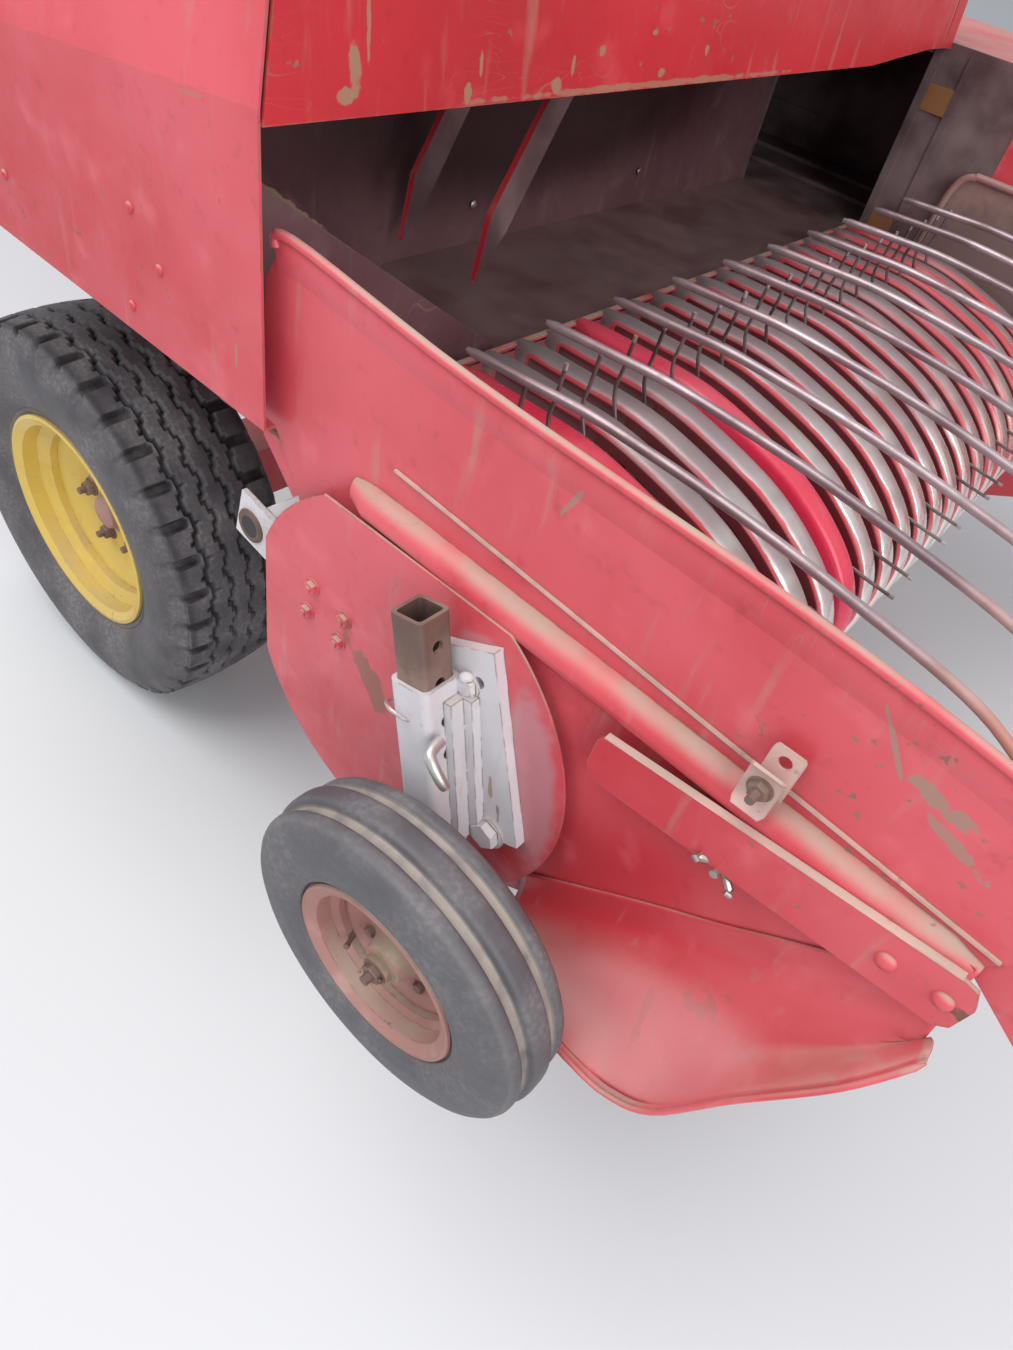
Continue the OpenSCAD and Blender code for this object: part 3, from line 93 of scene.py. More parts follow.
class Finish:
    """One procedural material, built node by node."""

    def __init__(self, name):
        self.material = bpy.data.materials.new(name)
        self.material.use_nodes = True
        self.tree = self.material.node_tree
        self.tree.nodes.clear()
        self.place = self.node("ShaderNodeTexCoord").outputs["Object"]
        self.normal = self.node("ShaderNodeNewGeometry").outputs["Normal"]

    def node(self, kind, inputs=None, **settings):
        made = self.tree.nodes.new(kind)
        for key, value in settings.items():
            setattr(made, key, value)
        for key, value in (inputs or {}).items():
            self.feed(made.inputs[key], value)
        return made

    def feed(self, socket, value):
        if isinstance(value, bpy.types.NodeSocket):
            self.tree.links.new(value, socket)
        elif socket.type == "RGBA" and len(value) == 3:
            socket.default_value = (*value, 1.0)
        else:
            socket.default_value = value

    def calc(self, kind, a, b=0.0):
        """Arithmetic on two values, with the result kept between 0 and 1."""
        return self.node("ShaderNodeMath", {0: a, 1: b}, operation=kind, use_clamp=True).outputs[0]

    def times(self, first, *more):
        for value in more:
            first = self.calc("MULTIPLY", first, value)
        return first

    def signed(self, kind, a, b=0.0):
        """Arithmetic whose result may go below 0 or above 1."""
        return self.node("ShaderNodeMath", {0: a, 1: b}, operation=kind).outputs[0]

    def noise(self, scale, detail=3.0, stretch=None, shift=0.0):
        where = self.place
        if stretch or shift:
            where = self.node("ShaderNodeMapping", {
                "Vector": where, "Scale": stretch or (1, 1, 1), "Location": (shift, shift, shift)}).outputs[0]
        made = self.node("ShaderNodeTexNoise", {"Vector": where, "Scale": scale, "Detail": detail})
        return made.outputs["Fac"]

    def band(self, value, low, high, start=0.0, end=1.0):
        made = self.node("ShaderNodeMapRange", {
            "Value": value, "From Min": low, "From Max": high, "To Min": start, "To Max": end},
            interpolation_type="SMOOTHSTEP")
        return made.outputs[0]

    def blend(self, first, second, amount):
        made = self.node("ShaderNodeMix", data_type="RGBA")
        self.feed(made.inputs[0], amount)
        self.feed(made.inputs[6], first)
        self.feed(made.inputs[7], second)
        return made.outputs[2]

    def upward(self, low=0.3, high=0.95):
        split = self.node("ShaderNodeSeparateXYZ", {"Vector": self.normal})
        return self.band(split.outputs[2], low, high)

    def dot(self, way):
        """How far a direction agrees with the surface's own."""
        made = self.node("ShaderNodeVectorMath", {0: self.normal, 1: way}, operation="DOT_PRODUCT")
        return made.outputs["Value"]

    def facing(self, way):
        return self.band(self.dot(way), 0.5, 0.8)

    def edge(self):
        """Finds the outer edges of the sheet, where paint rubs off first."""
        soft = self.node("ShaderNodeBevel", {"Radius": 0.003}, samples=4).outputs[0]
        return self.band(self.calc("SUBTRACT", 1.0, self.dot(soft)), 0.015, 0.12)

    def axis(self, index):
        return self.node("ShaderNodeSeparateXYZ", {"Vector": self.place}).outputs[index]

    def length(self, vector):
        return self.node("ShaderNodeVectorMath", {0: vector}, operation="LENGTH").outputs["Value"]

    def mark(self, spot, size, turn, ragged):
        """1 inside an oval at a place on the machine, torn up by noise; mm, turned about Y or by a triple."""
        turns = turn if isinstance(turn, tuple) else (0.0, turn, 0.0)
        where = self.node("ShaderNodeMapping", {
            "Vector": self.place, "Location": at(*spot), "Rotation": [math.radians(v) for v in turns],
            "Scale": [v * 0.001 for v in size]}, vector_type="TEXTURE").outputs[0]
        near = self.band(self.length(where), 0.1, 1.0, 1.0, 0.0)
        torn = self.times(self.noise(60.0, 4.0, shift=spot[0] * 0.01), ragged * 1.5)
        left = self.calc("SUBTRACT", near, torn)
        return self.band(left, 0.0, 0.06 + 0.6 * (1.0 - min(ragged, 1.0)))

    def within(self, low, high):
        """1 inside a box on the machine, in millimetres."""
        inside = 1.0
        for index, (a, b) in enumerate(zip(at(*low), at(*high))):
            place = self.axis(index)
            inside = self.times(self.band(place, a, a + 0.0004), inside)
            inside = self.times(self.band(place, b - 0.0004, b, 1.0, 0.0), inside)
        return inside

    def round_axle(self, centre):
        """Distance from a wheel's axle, and from its middle plane, in metres."""
        flat = self.node("ShaderNodeVectorMath", {0: self.place, 1: centre}, operation="SUBTRACT").outputs[0]
        side = self.node("ShaderNodeSeparateXYZ", {"Vector": flat}).outputs[1]
        ring = self.node("ShaderNodeVectorMath", {0: flat, 1: (1, 0, 1)}, operation="MULTIPLY").outputs[0]
        return self.length(ring), self.signed("ABSOLUTE", side)

    def bump(self, height, strength, distance, under=None):
        inputs = {"Height": height, "Strength": strength, "Distance": distance}
        if under:
            inputs["Normal"] = under
        return self.node("ShaderNodeBump", inputs).outputs[0]

    def done(self, colour, roughness, metallic=0.0, normal=None, coat=0.0, coat_roughness=0.2, specular=0.5):
        inputs = {
            "Base Color": colour, "Roughness": roughness, "Metallic": metallic,
            "Coat Weight": coat, "Coat Roughness": coat_roughness, "Specular IOR Level": specular}
        if normal:
            inputs["Normal"] = normal
        shader = self.node("ShaderNodeBsdfPrincipled", inputs)
        out = self.node("ShaderNodeOutputMaterial")
        self.tree.links.new(shader.outputs[0], out.inputs[0])
        return self.material


DUST = (0.36, 0.29, 0.23)
RUST = (0.13, 0.055, 0.03)
PRIMER = (0.28, 0.2, 0.15)
TAN = (0.33, 0.19, 0.12)
SPRAY = (0.4, 0.38, 0.42)
GRIME = (0.2, 0.1, 0.06)

# Stretch and shift of the noise that each set of fine scratches follows
SCRATCHES = (((7.0, 1.0, 1.2), 0.0), ((1.3, 1.0, 8.0), 2.0), ((4.0, 1.0, 5.0), 5.0))


def paint(name, fresh, faded, dust=0.5, wear=0.6, roughness=0.38, streak=0.3, marks=(), steel=None):
    """Sheet-metal paint that has faded, with dust on what faces up, runs of dirt, scuffs and rusty edges."""
    f = Finish(name)
    colour = f.blend(fresh, faded, f.times(f.band(f.noise(2.2, 5.0), 0.36, 0.64), 0.85))
    dark = [c * 0.7 for c in fresh]
    colour = f.blend(colour, dark, f.band(f.noise(48.0, 6.0), 0.56, 0.8, 0.0, 0.4))
    chalk = [min(1.0, c * 1.05 + 0.06) for c in faded]
    colour = f.blend(colour, chalk, f.band(f.noise(15.0, 6.0, shift=4.0), 0.55, 0.75, 0.0, 0.35))
    runs = f.times(f.band(f.noise(9.0, 5.0, (5.0, 5.0, 0.6)), 0.58, 0.76), streak)
    colour = f.blend(colour, DUST, runs)
    lying = f.times(f.upward(), f.band(f.noise(9.0, 6.0), 0.2, 0.62), dust)
    colour = f.blend(colour, DUST, lying)
    scuffs = 0.0
    for stretch, shift in SCRATCHES:
        line = f.calc("ABSOLUTE", f.signed("SUBTRACT", f.noise(6.0, 1.5, stretch, shift), 0.5))
        scuffs = f.calc("MAXIMUM", f.band(line, 0.0, 0.0035, 1.0, 0.0), scuffs)
    scuffs = f.times(scuffs, f.band(f.noise(3.2, 3.0, shift=3.0), 0.53, 0.64))
    colour = f.blend(colour, PRIMER, f.times(scuffs, 0.55))
    spots = f.times(f.band(f.noise(75.0, 2.0), 0.68, 0.73), f.band(f.noise(4.0, 3.0, shift=7.0), 0.5, 0.62))
    edges = f.times(f.edge(), f.band(f.noise(38.0, 4.0, shift=1.0), 0.42, 0.56))
    bare = f.times(f.calc("MAXIMUM", spots, edges), wear)
    colour = f.blend(colour, f.blend(RUST, PRIMER, f.noise(90.0)), bare)
    for spot, size, turn, ragged, tone, much in marks:
        colour = f.blend(colour, tone, f.times(f.mark(spot, size, turn, ragged), much))
    metal = 0.0
    if steel:
        bright, dull = (0.24, 0.17, 0.17), (0.1, 0.06, 0.062)
        shown = steel(f)
        colour = f.blend(colour, f.blend(dull, bright, f.band(f.noise(7.0, 6.0), 0.35, 0.68)), shown)
        metal = f.times(shown, 0.3)
    clean = f.band(f.noise(14.0, 4.0), 0.3, 0.7, roughness - 0.07, roughness + 0.1)
    rough = f.calc("ADD", f.times(f.calc("MAXIMUM", bare, lying), 0.4), clean)
    dents = f.bump(f.noise(4.5, 1.0), 0.18, 0.02)
    skin = f.bump(f.calc("SUBTRACT", f.noise(160.0, 2.0), bare), 0.08, 0.002, dents)
    return f.done(colour, rough, metal, skin)


def bare_metal(name, bright, dark, roughness=0.32, rust=0.3, metallic=0.85):
    """Steel worn bright in use, darkened and rusting where nothing rubs it."""
    f = Finish(name)
    colour = f.blend(dark, bright, f.band(f.noise(8.0, 5.0), 0.35, 0.66))
    rusty = f.times(f.band(f.noise(30.0, 6.0, shift=2.0), 0.5, 0.68), rust)
    colour = f.blend(colour, RUST, rusty)
    lying = f.times(f.upward(0.6, 1.0), f.band(f.noise(12.0, 4.0), 0.4, 0.8, 0.0, 0.35))
    colour = f.blend(colour, DUST, lying)
    dull = f.calc("MAXIMUM", rusty, lying)
    metal = f.calc("SUBTRACT", metallic, f.times(dull, 0.9))
    rough = f.calc("ADD", roughness, f.times(dull, 0.5))
    return f.done(colour, rough, metal, f.bump(f.noise(120.0, 4.0), 0.12, 0.001))


def rubber(name, base, dusty, dust=0.6, wheel=None):
    """Rubber; a wheel (centre, radius, half width, groove, tone) gives its grooves a tone of their own, which
    is painted shade on the road tyres and dust on the gauge tyre.
    """
    f = Finish(name)
    cloud = f.band(f.noise(11.0, 6.0), 0.3, 0.75)
    fine = f.band(f.noise(150.0, 3.0), 0.4, 0.7)
    amount = f.times(cloud, dust, f.calc("ADD", 0.5, f.times(fine, 0.5)))
    colour = f.blend(base, dusty, amount)
    if wheel:
        centre, radius, half, groove, tone = wheel
        far, side = f.round_axle(centre)
        # The groove tone is painted shade where it is near-black (road tyres) and dust where it is tan (gauge
        # tyre).
        low = f.times(
            f.band(far, radius - groove, radius - groove * 0.55, 1.0, 0.0),
            f.band(side, half - 0.012, half, 1.0, 0.0),
            f.band(far, radius * 0.8, radius * 0.84),
            f.band(f.noise(26.0, 6.0), 0.25, 0.6, 0.2, 0.95))
        colour = f.blend(colour, tone, low)
        bead = f.band(far, radius * 0.56, radius * 0.62, 1.0, 0.0)
        bead = f.times(bead, f.band(f.noise(9.0, 5.0), 0.3, 0.7, 0.1, 0.6))
        colour = f.blend(colour, (0.24, 0.19, 0.15), bead)
    skin = f.bump(f.noise(260.0, 3.0), 0.2, 0.0008)
    return f.done(colour, f.band(cloud, 0.0, 1.0, 0.55, 0.8), normal=skin)


def plain_floor(tone):
    f = Finish("pale_floor")
    colour = f.blend([c * 0.97 for c in tone], tone, f.noise(1.5, 2.0))
    return f.done(colour, 0.9, specular=0.2)


FINISHES = {}

# Each mark has its place and size in millimetres, turn in degrees, raggedness, tone and strength
PICKUP_MARKS = [
    ((1142, -63, 800), (62, 60, 215), -14, 0.3, SPRAY, 0.4),
    ((1045, -63, 930), (60, 60, 36), -14, 0.35, SPRAY, 0.25),
    ((900, -64, 755), (42, 40, 95), -35, 0.75, GRIME, 0.75),
    ((850, -64, 800), (16, 40, 60), -35, 0.8, GRIME, 0.5),
    ((1180, -63, 870), (20, 30, 50), -14, 0.8, TAN, 0.6),
    ((1290, -45, 960), (90, 30, 40), 5, 1.0, PRIMER, 0.8),
    ((1458, -38, 1085), (80, 20, 20), 8, 1.0, PRIMER, 0.8),
    ((1485, -38, 1058), (80, 20, 15), 20, 1.05, PRIMER, 0.75),
    ((1405, -38, 1105), (5, 20, 90), -38, 0.8, PRIMER, 0.8),
    ((1085, -38, 1130), (7, 20, 50), 25, 0.9, PRIMER, 0.7),
    ((1560, -66, 948), (40, 20, 18), 10, 0.9, RUST, 0.9),
    ((1420, -100, 745), (50, 80, 120), 30, 1.1, GRIME, 0.45),
    ((1370, -110, 680), (14, 80, 130), -20, 1.0, GRIME, 0.4),
    ((1380, -110, 650), (240, 90, 120), -35, 0.1, (0.62, 0.24, 0.25), 0.5)]

# Chipped spots along the foot of the front panel: y, z, width and height
CHIPS = (
    (46, 1330, 17, 46), (62, 1362, 7, 60), (34, 1312, 22, 16), (198, 1306, 11, 20), (216, 1328, 6, 24),
    (345, 1305, 24, 18), (372, 1322, 7, 24), (425, 1336, 12, 12), (530, 1352, 16, 8), (560, 1310, 20, 12),
    (660, 1330, 12, 14))
PANEL_MARKS = [((694, 560, 1298), (30, 800, 9), 0, 0.75, TAN, 0.7)]
PANEL_MARKS += [((695, y, z), (30, wide, tall), 0, 0.8, TAN, 0.9) for y, z, wide, tall in CHIPS]


def chamber_steel(f):
    """Bare steel inside the chamber, and outside only round the feed opening."""
    inner = f.within((-2000, 1604.6, 954), (2000, 2072, 1316))
    return f.calc("MAXIMUM", f.within((340, 1595, 950), (893, 1612, 1321)), inner)


def band_steel(name):
    """Dull steel bands, rubbed bright over their bend under painted highlight streaks, with red left along
    their edges and their flanks coloured near-black as painted shade for the gaps between bands.
    """
    f = Finish(name)
    step = f.signed("DIVIDE", f.signed("SUBTRACT", f.axis(1), ZERO.y + FIRST_BAND), BAND_PITCH)
    away = f.signed("ABSOLUTE", f.signed("SUBTRACT", step, f.signed("ROUND", step)))
    away = f.signed("MULTIPLY", away, BAND_PITCH)
    torn = f.signed("MULTIPLY", f.signed("SUBTRACT", f.noise(24.0, 4.0), 0.5), 0.005)
    leftward = f.band(f.axis(1), at(0, 1000, 0).y, at(0, 1560, 0).y, 0.0, 0.006)
    inset = f.signed("ADD", f.signed("ADD", away, torn), leftward)
    edge = f.band(inset, 0.0178, 0.019)
    # Painted shade: the turned-down flanks are coloured near-black red so that the gaps between the bands
    # look dark.
    gap_shade = f.band(away, 0.0208, 0.0216)
    ahead = f.band(f.axis(0), ZERO.x + 0.98, ZERO.x + 1.15)
    # Painted highlight: near-white streaks over the bend, on top of steel that is rubbed bright there.
    bend_highlight = f.times(ahead, f.band(f.noise(7.0, 3.0, (1, 0.25, 1)), 0.34, 0.56))
    steel = f.blend((0.28, 0.22, 0.222), (0.42, 0.34, 0.34), f.noise(9.0, 4.0))
    steel = f.blend(steel, (0.9, 0.85, 0.81), bend_highlight)
    red = f.blend((0.5, 0.02, 0.035), (0.6, 0.07, 0.09), f.noise(20.0, 4.0))
    keep = f.times(edge, f.band(f.noise(5.0, 3.0, shift=2.0), 0.3, 0.5, 0.35, 0.95))
    colour = f.blend(f.blend(steel, red, keep), (0.1, 0.014, 0.018), gap_shade)
    metal = f.calc("SUBTRACT", f.calc("ADD", 0.55, f.times(bend_highlight, 0.35)), f.calc("MAXIMUM", keep, gap_shade))
    rough = f.calc("SUBTRACT", 0.42, f.times(bend_highlight, 0.24))
    rough = f.calc("ADD", rough, f.times(f.noise(30.0, 4.0), 0.12))
    skin = f.bump(f.noise(60.0, 3.0), 0.1, 0.001)
    return f.done(colour, rough, metal, skin, coat=0.2, coat_roughness=0.15)


def rod_steel(name):
    """Round bar rubbed smooth by the crop, rusty and red towards its front end."""
    f = Finish(name)
    worn = f.band(f.noise(8.0, 5.0), 0.35, 0.66)
    colour = f.blend((0.25, 0.185, 0.2), (0.44, 0.36, 0.38), worn)
    rusty = f.band(f.noise(30.0, 6.0, shift=2.0), 0.52, 0.68, 0.0, 0.3)
    ahead = f.band(f.axis(0), ZERO.x + 1.3, ZERO.x + 1.52)
    ahead = f.times(ahead, f.band(f.noise(12.0, 4.0, shift=5.0), 0.28, 0.5, 0.3, 0.9))
    old = f.blend((0.42, 0.2, 0.14), (0.5, 0.07, 0.075), f.band(f.axis(0), ZERO.x + 1.42, ZERO.x + 1.6))
    colour = f.blend(f.blend(colour, RUST, rusty), old, ahead)
    metal = f.calc("SUBTRACT", 0.6, f.calc("MAXIMUM", rusty, ahead))
    rough = f.calc("ADD", 0.36, f.times(ahead, 0.25))
    return f.done(colour, rough, metal, f.bump(f.noise(120.0, 4.0), 0.1, 0.001))


def make_finishes(looks):
    fresh, faded, deep, yellow = looks.red_fresh, looks.red_faded, looks.red_deep, looks.rim_yellow
    FINISHES.update({
        "red": paint("faded_red_paint", fresh, faded),
        "shield_red": paint(
            "shield_red_paint", fresh, faded, wear=0.7, streak=0.2, marks=[
                ((655, -63, 1060), (5, 30, 40), 0, 1.0, TAN, 0.7),
                ((600, -63, 1290), (70, 30, 6), -8, 1.0, TAN, 0.5)]),
        "deep_red": paint(
            "deep_red_paint", deep, [c * 1.25 for c in deep], dust=0.4, wear=0.8, marks=PANEL_MARKS),
        "pickup_red": paint("pickup_red_paint", fresh, faded, dust=0.9, wear=0.8, marks=PICKUP_MARKS),
        "flare_inside": paint(
            "left_flare_paint", fresh, faded, dust=0.6, wear=0.9, marks=[
                ((1080, 1588, 960), (900, 30, 460), 0, 0.12, (0.26, 0.17, 0.15), 0.95),
                ((1080, 1588, 930), (620, 30, 330), 0, 0.3, (0.13, 0.09, 0.082), 0.85)]),
        "chamber_red": paint("chamber_paint", fresh, faded, steel=chamber_steel),
        "finger_red": paint(
            "finger_paint", (0.5, 0.012, 0.03), (0.55, 0.03, 0.05), dust=0.3, wear=0.9,
            steel=lambda f: f.calc("MAXIMUM", f.facing((1, 0, 0)), f.facing((-1, 0, 0)))),
        "dark_steel": paint(
            "feeder_floor_steel", (0.1, 0.042, 0.048), (0.15, 0.075, 0.08), dust=0.22, wear=0.5,
            roughness=0.36, streak=0.12, marks=[
                ((361, 190, 1100), (20, 300, 16), (-32.5, 0.0, 0.0), 0.7, (0.42, 0.27, 0.18), 0.85),
                # Painted shade: a near-black, soft-edged patch over the upper part of the wall at the back of
                # the feeder.
                ((361, 800, 1200), (20, 900, 290), 0, 0.1, (0.024, 0.01, 0.011), 0.9)]),
        "worn_steel": bare_metal("band_steel", (0.62, 0.57, 0.56), (0.3, 0.2, 0.2), 0.28, 0.25),
        "tine_steel": bare_metal("tine_steel", (0.25, 0.22, 0.22), (0.12, 0.09, 0.09), 0.4, 0.4),
        "grey_paint": paint(
            "grey_paint", (0.53, 0.52, 0.55), (0.62, 0.59, 0.61), dust=0.4, wear=1.0, roughness=0.5, marks=[
                ((1105, -75, 780), (8, 20, 50), -14, 1.0, TAN, 0.7),
                ((1125, -75, 740), (7, 20, 36), -14, 1.0, RUST, 0.6)]),
        "rust": bare_metal("rusty_tube", (0.31, 0.215, 0.18), (0.16, 0.1, 0.082), 0.6, 0.7, 0.5),
        "yellow_rim": paint(
            "yellow_rim_paint", yellow, [c * 1.15 for c in yellow],
            wear=0.5, roughness=0.4, streak=0.15, marks=[
                ((-80, 50, 450), (120, 70, 120), 0, 0.25, (0.36, 0.26, 0.15), 0.75),
                ((0, 106, 380), (70, 16, 70), 0, 0.7, (0.2, 0.11, 0.06), 0.6)]),
        "dull_red": paint(
            "dull_rim_paint", (0.33, 0.155, 0.135), (0.46, 0.29, 0.255), dust=1.0, wear=0.9, roughness=0.65,
            marks=[
                ((1130, -220, 615), (74, 60, 74), 0, 0.7, (0.3, 0.24, 0.17), 0.9),
                ((1130, -240, 615), (44, 60, 44), 0, 0.6, (0.2, 0.15, 0.1), 0.9)]),
        "tyre": rubber("road_tyre_rubber", (0.03, 0.031, 0.036), (0.17, 0.16, 0.155)),
        "reel_dark": paint("reel_paint", (0.12, 0.035, 0.035), (0.17, 0.07, 0.06), wear=0.9, roughness=0.5),
        "guard_black": rubber("shaft_guard_plastic", (0.02, 0.02, 0.022), (0.09, 0.085, 0.08), 0.3),
        "wood": rubber("oiled_wood", (0.24, 0.1, 0.035), (0.12, 0.05, 0.025), 0.9),
        "zinc": bare_metal("zinc_fastener", (0.6, 0.6, 0.58), (0.3, 0.28, 0.25), 0.35, 0.4),
        "dusty_edge": paint(
            "dusty_edge_paint", (0.5, 0.3, 0.28), (0.56, 0.4, 0.34), dust=0.8, wear=0.4, roughness=0.6),
    })


OWN_FINISH = {
    "side_shield": "shield_red", "bale_chamber": "chamber_red", "cam_cover": "pickup_red",
    "pickup_frame": "pickup_red", "feeder_fingers": "finger_red"}


def dress_nodes():
    slots = {row["node"]: row["material_slot"] for row in frame["record"]["subparts"]}
    for name, node in NODES.items():
        node.data.materials.clear()
        node.data.materials.append(FINISHES[OWN_FINISH.get(name, slots[name])])


# Geometry


def circle(spot, side, up, radius, sides):
    """Points of a circle round spot, in the plane of side and up."""
    turns = [2 * math.pi * k / sides for k in range(sides)]
    return [spot + radius * (side * math.cos(a) + up * math.sin(a)) for a in turns]


def about(centre, radius, angle, y=0.0):
    """A place at a radius and an angle (in radians) about a line through centre that runs along Y."""
    return centre + Vector((radius * math.cos(angle), y, radius * math.sin(angle)))


class Shape:
    """Gathers vertices and faces of one piece, in metres."""

    def __init__(self):
        self.verts = []
        self.faces = []
        self.kinds = []

    def add(self, verts, faces, kind=0):
        start = len(self.verts)
        self.verts.extend(verts)
        self.faces.extend([[start + i for i in face] for face in faces])
        self.kinds.extend([kind] * len(faces))

    def grid(self, rows, kind=0, around=False, along=False, ends=False):
        """Joins rows of points: around closes each row on itself, along joins the last row to the first."""
        n = len(rows[0])
        faces = []
        last = len(rows) if along else len(rows) - 1
        for i in range(last):
            j = (i + 1) % len(rows)
            for k in range(n if around else n - 1):
                m = (k + 1) % n
                faces.append([i * n + k, i * n + m, j * n + m, j * n + k])
        if ends:
            faces.append([k for k in range(n - 1, -1, -1)])
            faces.append([(len(rows) - 1) * n + k for k in range(n)])
        self.add([p for row in rows for p in row], faces, kind)

    def tube(self, points, radius, sides=10, kind=0):
        """A round bar along a path; radius is one number or one for each point."""
        points = [Vector(p) for p in points]
        radii = radius if isinstance(radius, (list, tuple)) else [radius] * len(points)
        side = None
        rows = []
        for i, p in enumerate(points):
            way = (points[min(i + 1, len(points) - 1)] - points[max(i - 1, 0)]).normalized()
            if side is None:
                side = way.orthogonal().normalized()
            side = (side - way * side.dot(way)).normalized()
            rows.append(circle(p, side, way.cross(side), radii[i], sides))
        self.grid(rows, kind, around=True, ends=True)

    def lathe(self, profile, centre, steps=64, kind=0):
        """Turns a profile of (radius, along Y) about a line through centre that runs along Y."""
        turns = [2 * math.pi * k / steps for k in range(steps)]
        rows = [[about(centre, r, a, y) for r, y in profile] for a in turns]
        self.grid(rows, kind, around=True, along=True)

    def block(self, low, high, kind=0):
        xs, ys, zs = zip(low, high)
        spots = [Vector((x, y, z)) for z in zs for y in ys for x in xs]
        faces = [[0, 2, 3, 1], [4, 5, 7, 6], [0, 1, 5, 4], [2, 6, 7, 3], [0, 4, 6, 2], [1, 3, 7, 5]]
        self.add(spots, faces, kind)

    def plate(self, outline, y, thick, kind=0):
        """A flat sheet with the given outline in x and z, in millimetres, from y towards +Y."""
        n = len(outline)
        spots = [at(x, side, z) for side in (y, y + thick) for x, z in outline]
        faces = [list(range(n - 1, -1, -1)), list(range(n, 2 * n))]
        faces += [[k, (k + 1) % n, n + (k + 1) % n, n + k] for k in range(n)]
        self.add(spots, faces, kind)

    def bolt(self, spot, way, across, head, kind=0, domed=False, shank=0.0):
        """A hexagon head with a chamfered crown on a washer, or a domed rivet, on the surface at spot."""
        way = Vector(way).normalized()
        side = way.orthogonal().normalized()
        up = way.cross(side)
        radius = across / 2 / (1 if domed else math.cos(math.pi / 6))
        if domed:
            sides, steps = 20, [(1.0, 0.0), (0.96, 0.25), (0.8, 0.6), (0.5, 0.88), (0.2, 0.99)]
        else:
            sides, steps = 6, [(1.0, 0.0), (1.0, 0.82), (0.9, 1.0), (0.45, 1.0)]
            washer = ((radius * 1.25, 0.0), (radius * 1.25, head * 0.18), (radius * 0.6, head * 0.2))
            rows = [circle(spot + way * h, side, up, r, 20) for r, h in washer]
            self.grid(rows, kind, around=True, ends=True)
        rows = [circle(spot + way * head * h, side, up, r * radius, sides) for r, h in steps]
        self.grid(rows, kind, around=True, ends=True)
        if shank:
            self.tube([spot + way * head * 0.9, spot + way * (head + shank)], across * 0.27, 10, kind)

    def piece(self, name, body, slot, finishes, replaces=(), smooth=35, bevel=0.0, thick=0.0):
        mesh = bpy.data.meshes.new(name)
        mesh.from_pydata([tuple(v) for v in self.verts], [], self.faces)
        for finish in finishes:
            mesh.materials.append(finish)
        for polygon, kind in zip(mesh.polygons, self.kinds):
            polygon.material_index = kind
        work = bmesh.new()
        work.from_mesh(mesh)
        bmesh.ops.recalc_face_normals(work, faces=work.faces)
        work.to_mesh(mesh)
        work.free()
        made = bpy.data.objects.new(name, mesh)
        bpy.context.scene.collection.objects.link(made)
        if bevel:
            edge = made.modifiers.new("soft_edges", "BEVEL")
            edge.width = bevel
            edge.segments = 2
            edge.limit_method = "ANGLE"
            edge.angle_limit = math.radians(40)
        if thick:
            made.modifiers.new("sheet", "SOLIDIFY").thickness = thick
        mesh.shade_smooth()
        mesh.set_sharp_from_angle(angle=math.radians(smooth))
        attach(made, body)
        if replaces:
            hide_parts(*replaces)
        return made


def curve_through(points, per=6):
    """Rounds a row of points off into a smooth path through them."""
    points = [Vector(p) for p in points]
    path = []
    for i in range(len(points) - 1):
        a = points[max(i - 1, 0)]
        b = points[i]
        c = points[i + 1]
        d = points[min(i + 2, len(points) - 1)]
        for k in range(per):
            t = k / per
            square, cube = (2 * a - 5 * b + 4 * c - d) * t ** 2, (3 * b - a - 3 * c + d) * t ** 3
            path.append(0.5 * (2 * b + (c - a) * t + square + cube))
    path.append(points[-1])
    return path


def arc(x, z, radius, start, end, steps=24):
    """Points on an arc in x and z, angles in degrees from +X towards +Z."""
    angles = [math.radians(start + (end - start) * k / steps) for k in range(steps + 1)]
    return [(x + radius * math.cos(a), z + radius * math.sin(a)) for a in angles]


def outer_face(tyre, sense=1):
    """The middle of a tyre's outer face, in metres; sense is -1 on the left."""
    low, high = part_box(tyre)
    return Vector(((low[0] + high[0]) / 2, low[1] if sense > 0 else high[1], (low[2] + high[2]) / 2))


# Pieces


class StageLooks(bpy.types.PropertyGroup):
    floor_tone: FloatVectorProperty(
        name="Floor tone", description="Colour of the floor", subtype="COLOR",
        default=(0.6, 0.605, 0.62), min=0, max=1)
    lens: FloatProperty(
        name="Lens", description="Focal length of the camera", default=23.55, min=10, max=100, unit="CAMERA")


class PaintLooks(bpy.types.PropertyGroup):
    red_fresh: FloatVectorProperty(
        name="Red paint", description="Paint where it kept its colour", subtype="COLOR",
        default=(0.5, 0.036, 0.05), min=0, max=1)
    red_faded: FloatVectorProperty(
        name="Faded red", description="Paint where the sun bleached it", subtype="COLOR",
        default=(0.64, 0.1, 0.125), min=0, max=1)
    red_deep: FloatVectorProperty(
        name="Deep red", description="Paint on the front panel", subtype="COLOR",
        default=(0.45, 0.016, 0.023), min=0, max=1)
    rim_yellow: FloatVectorProperty(
        name="Rim yellow", description="Paint on the transport rims", subtype="COLOR",
        default=(0.6, 0.42, 0.085), min=0, max=1)


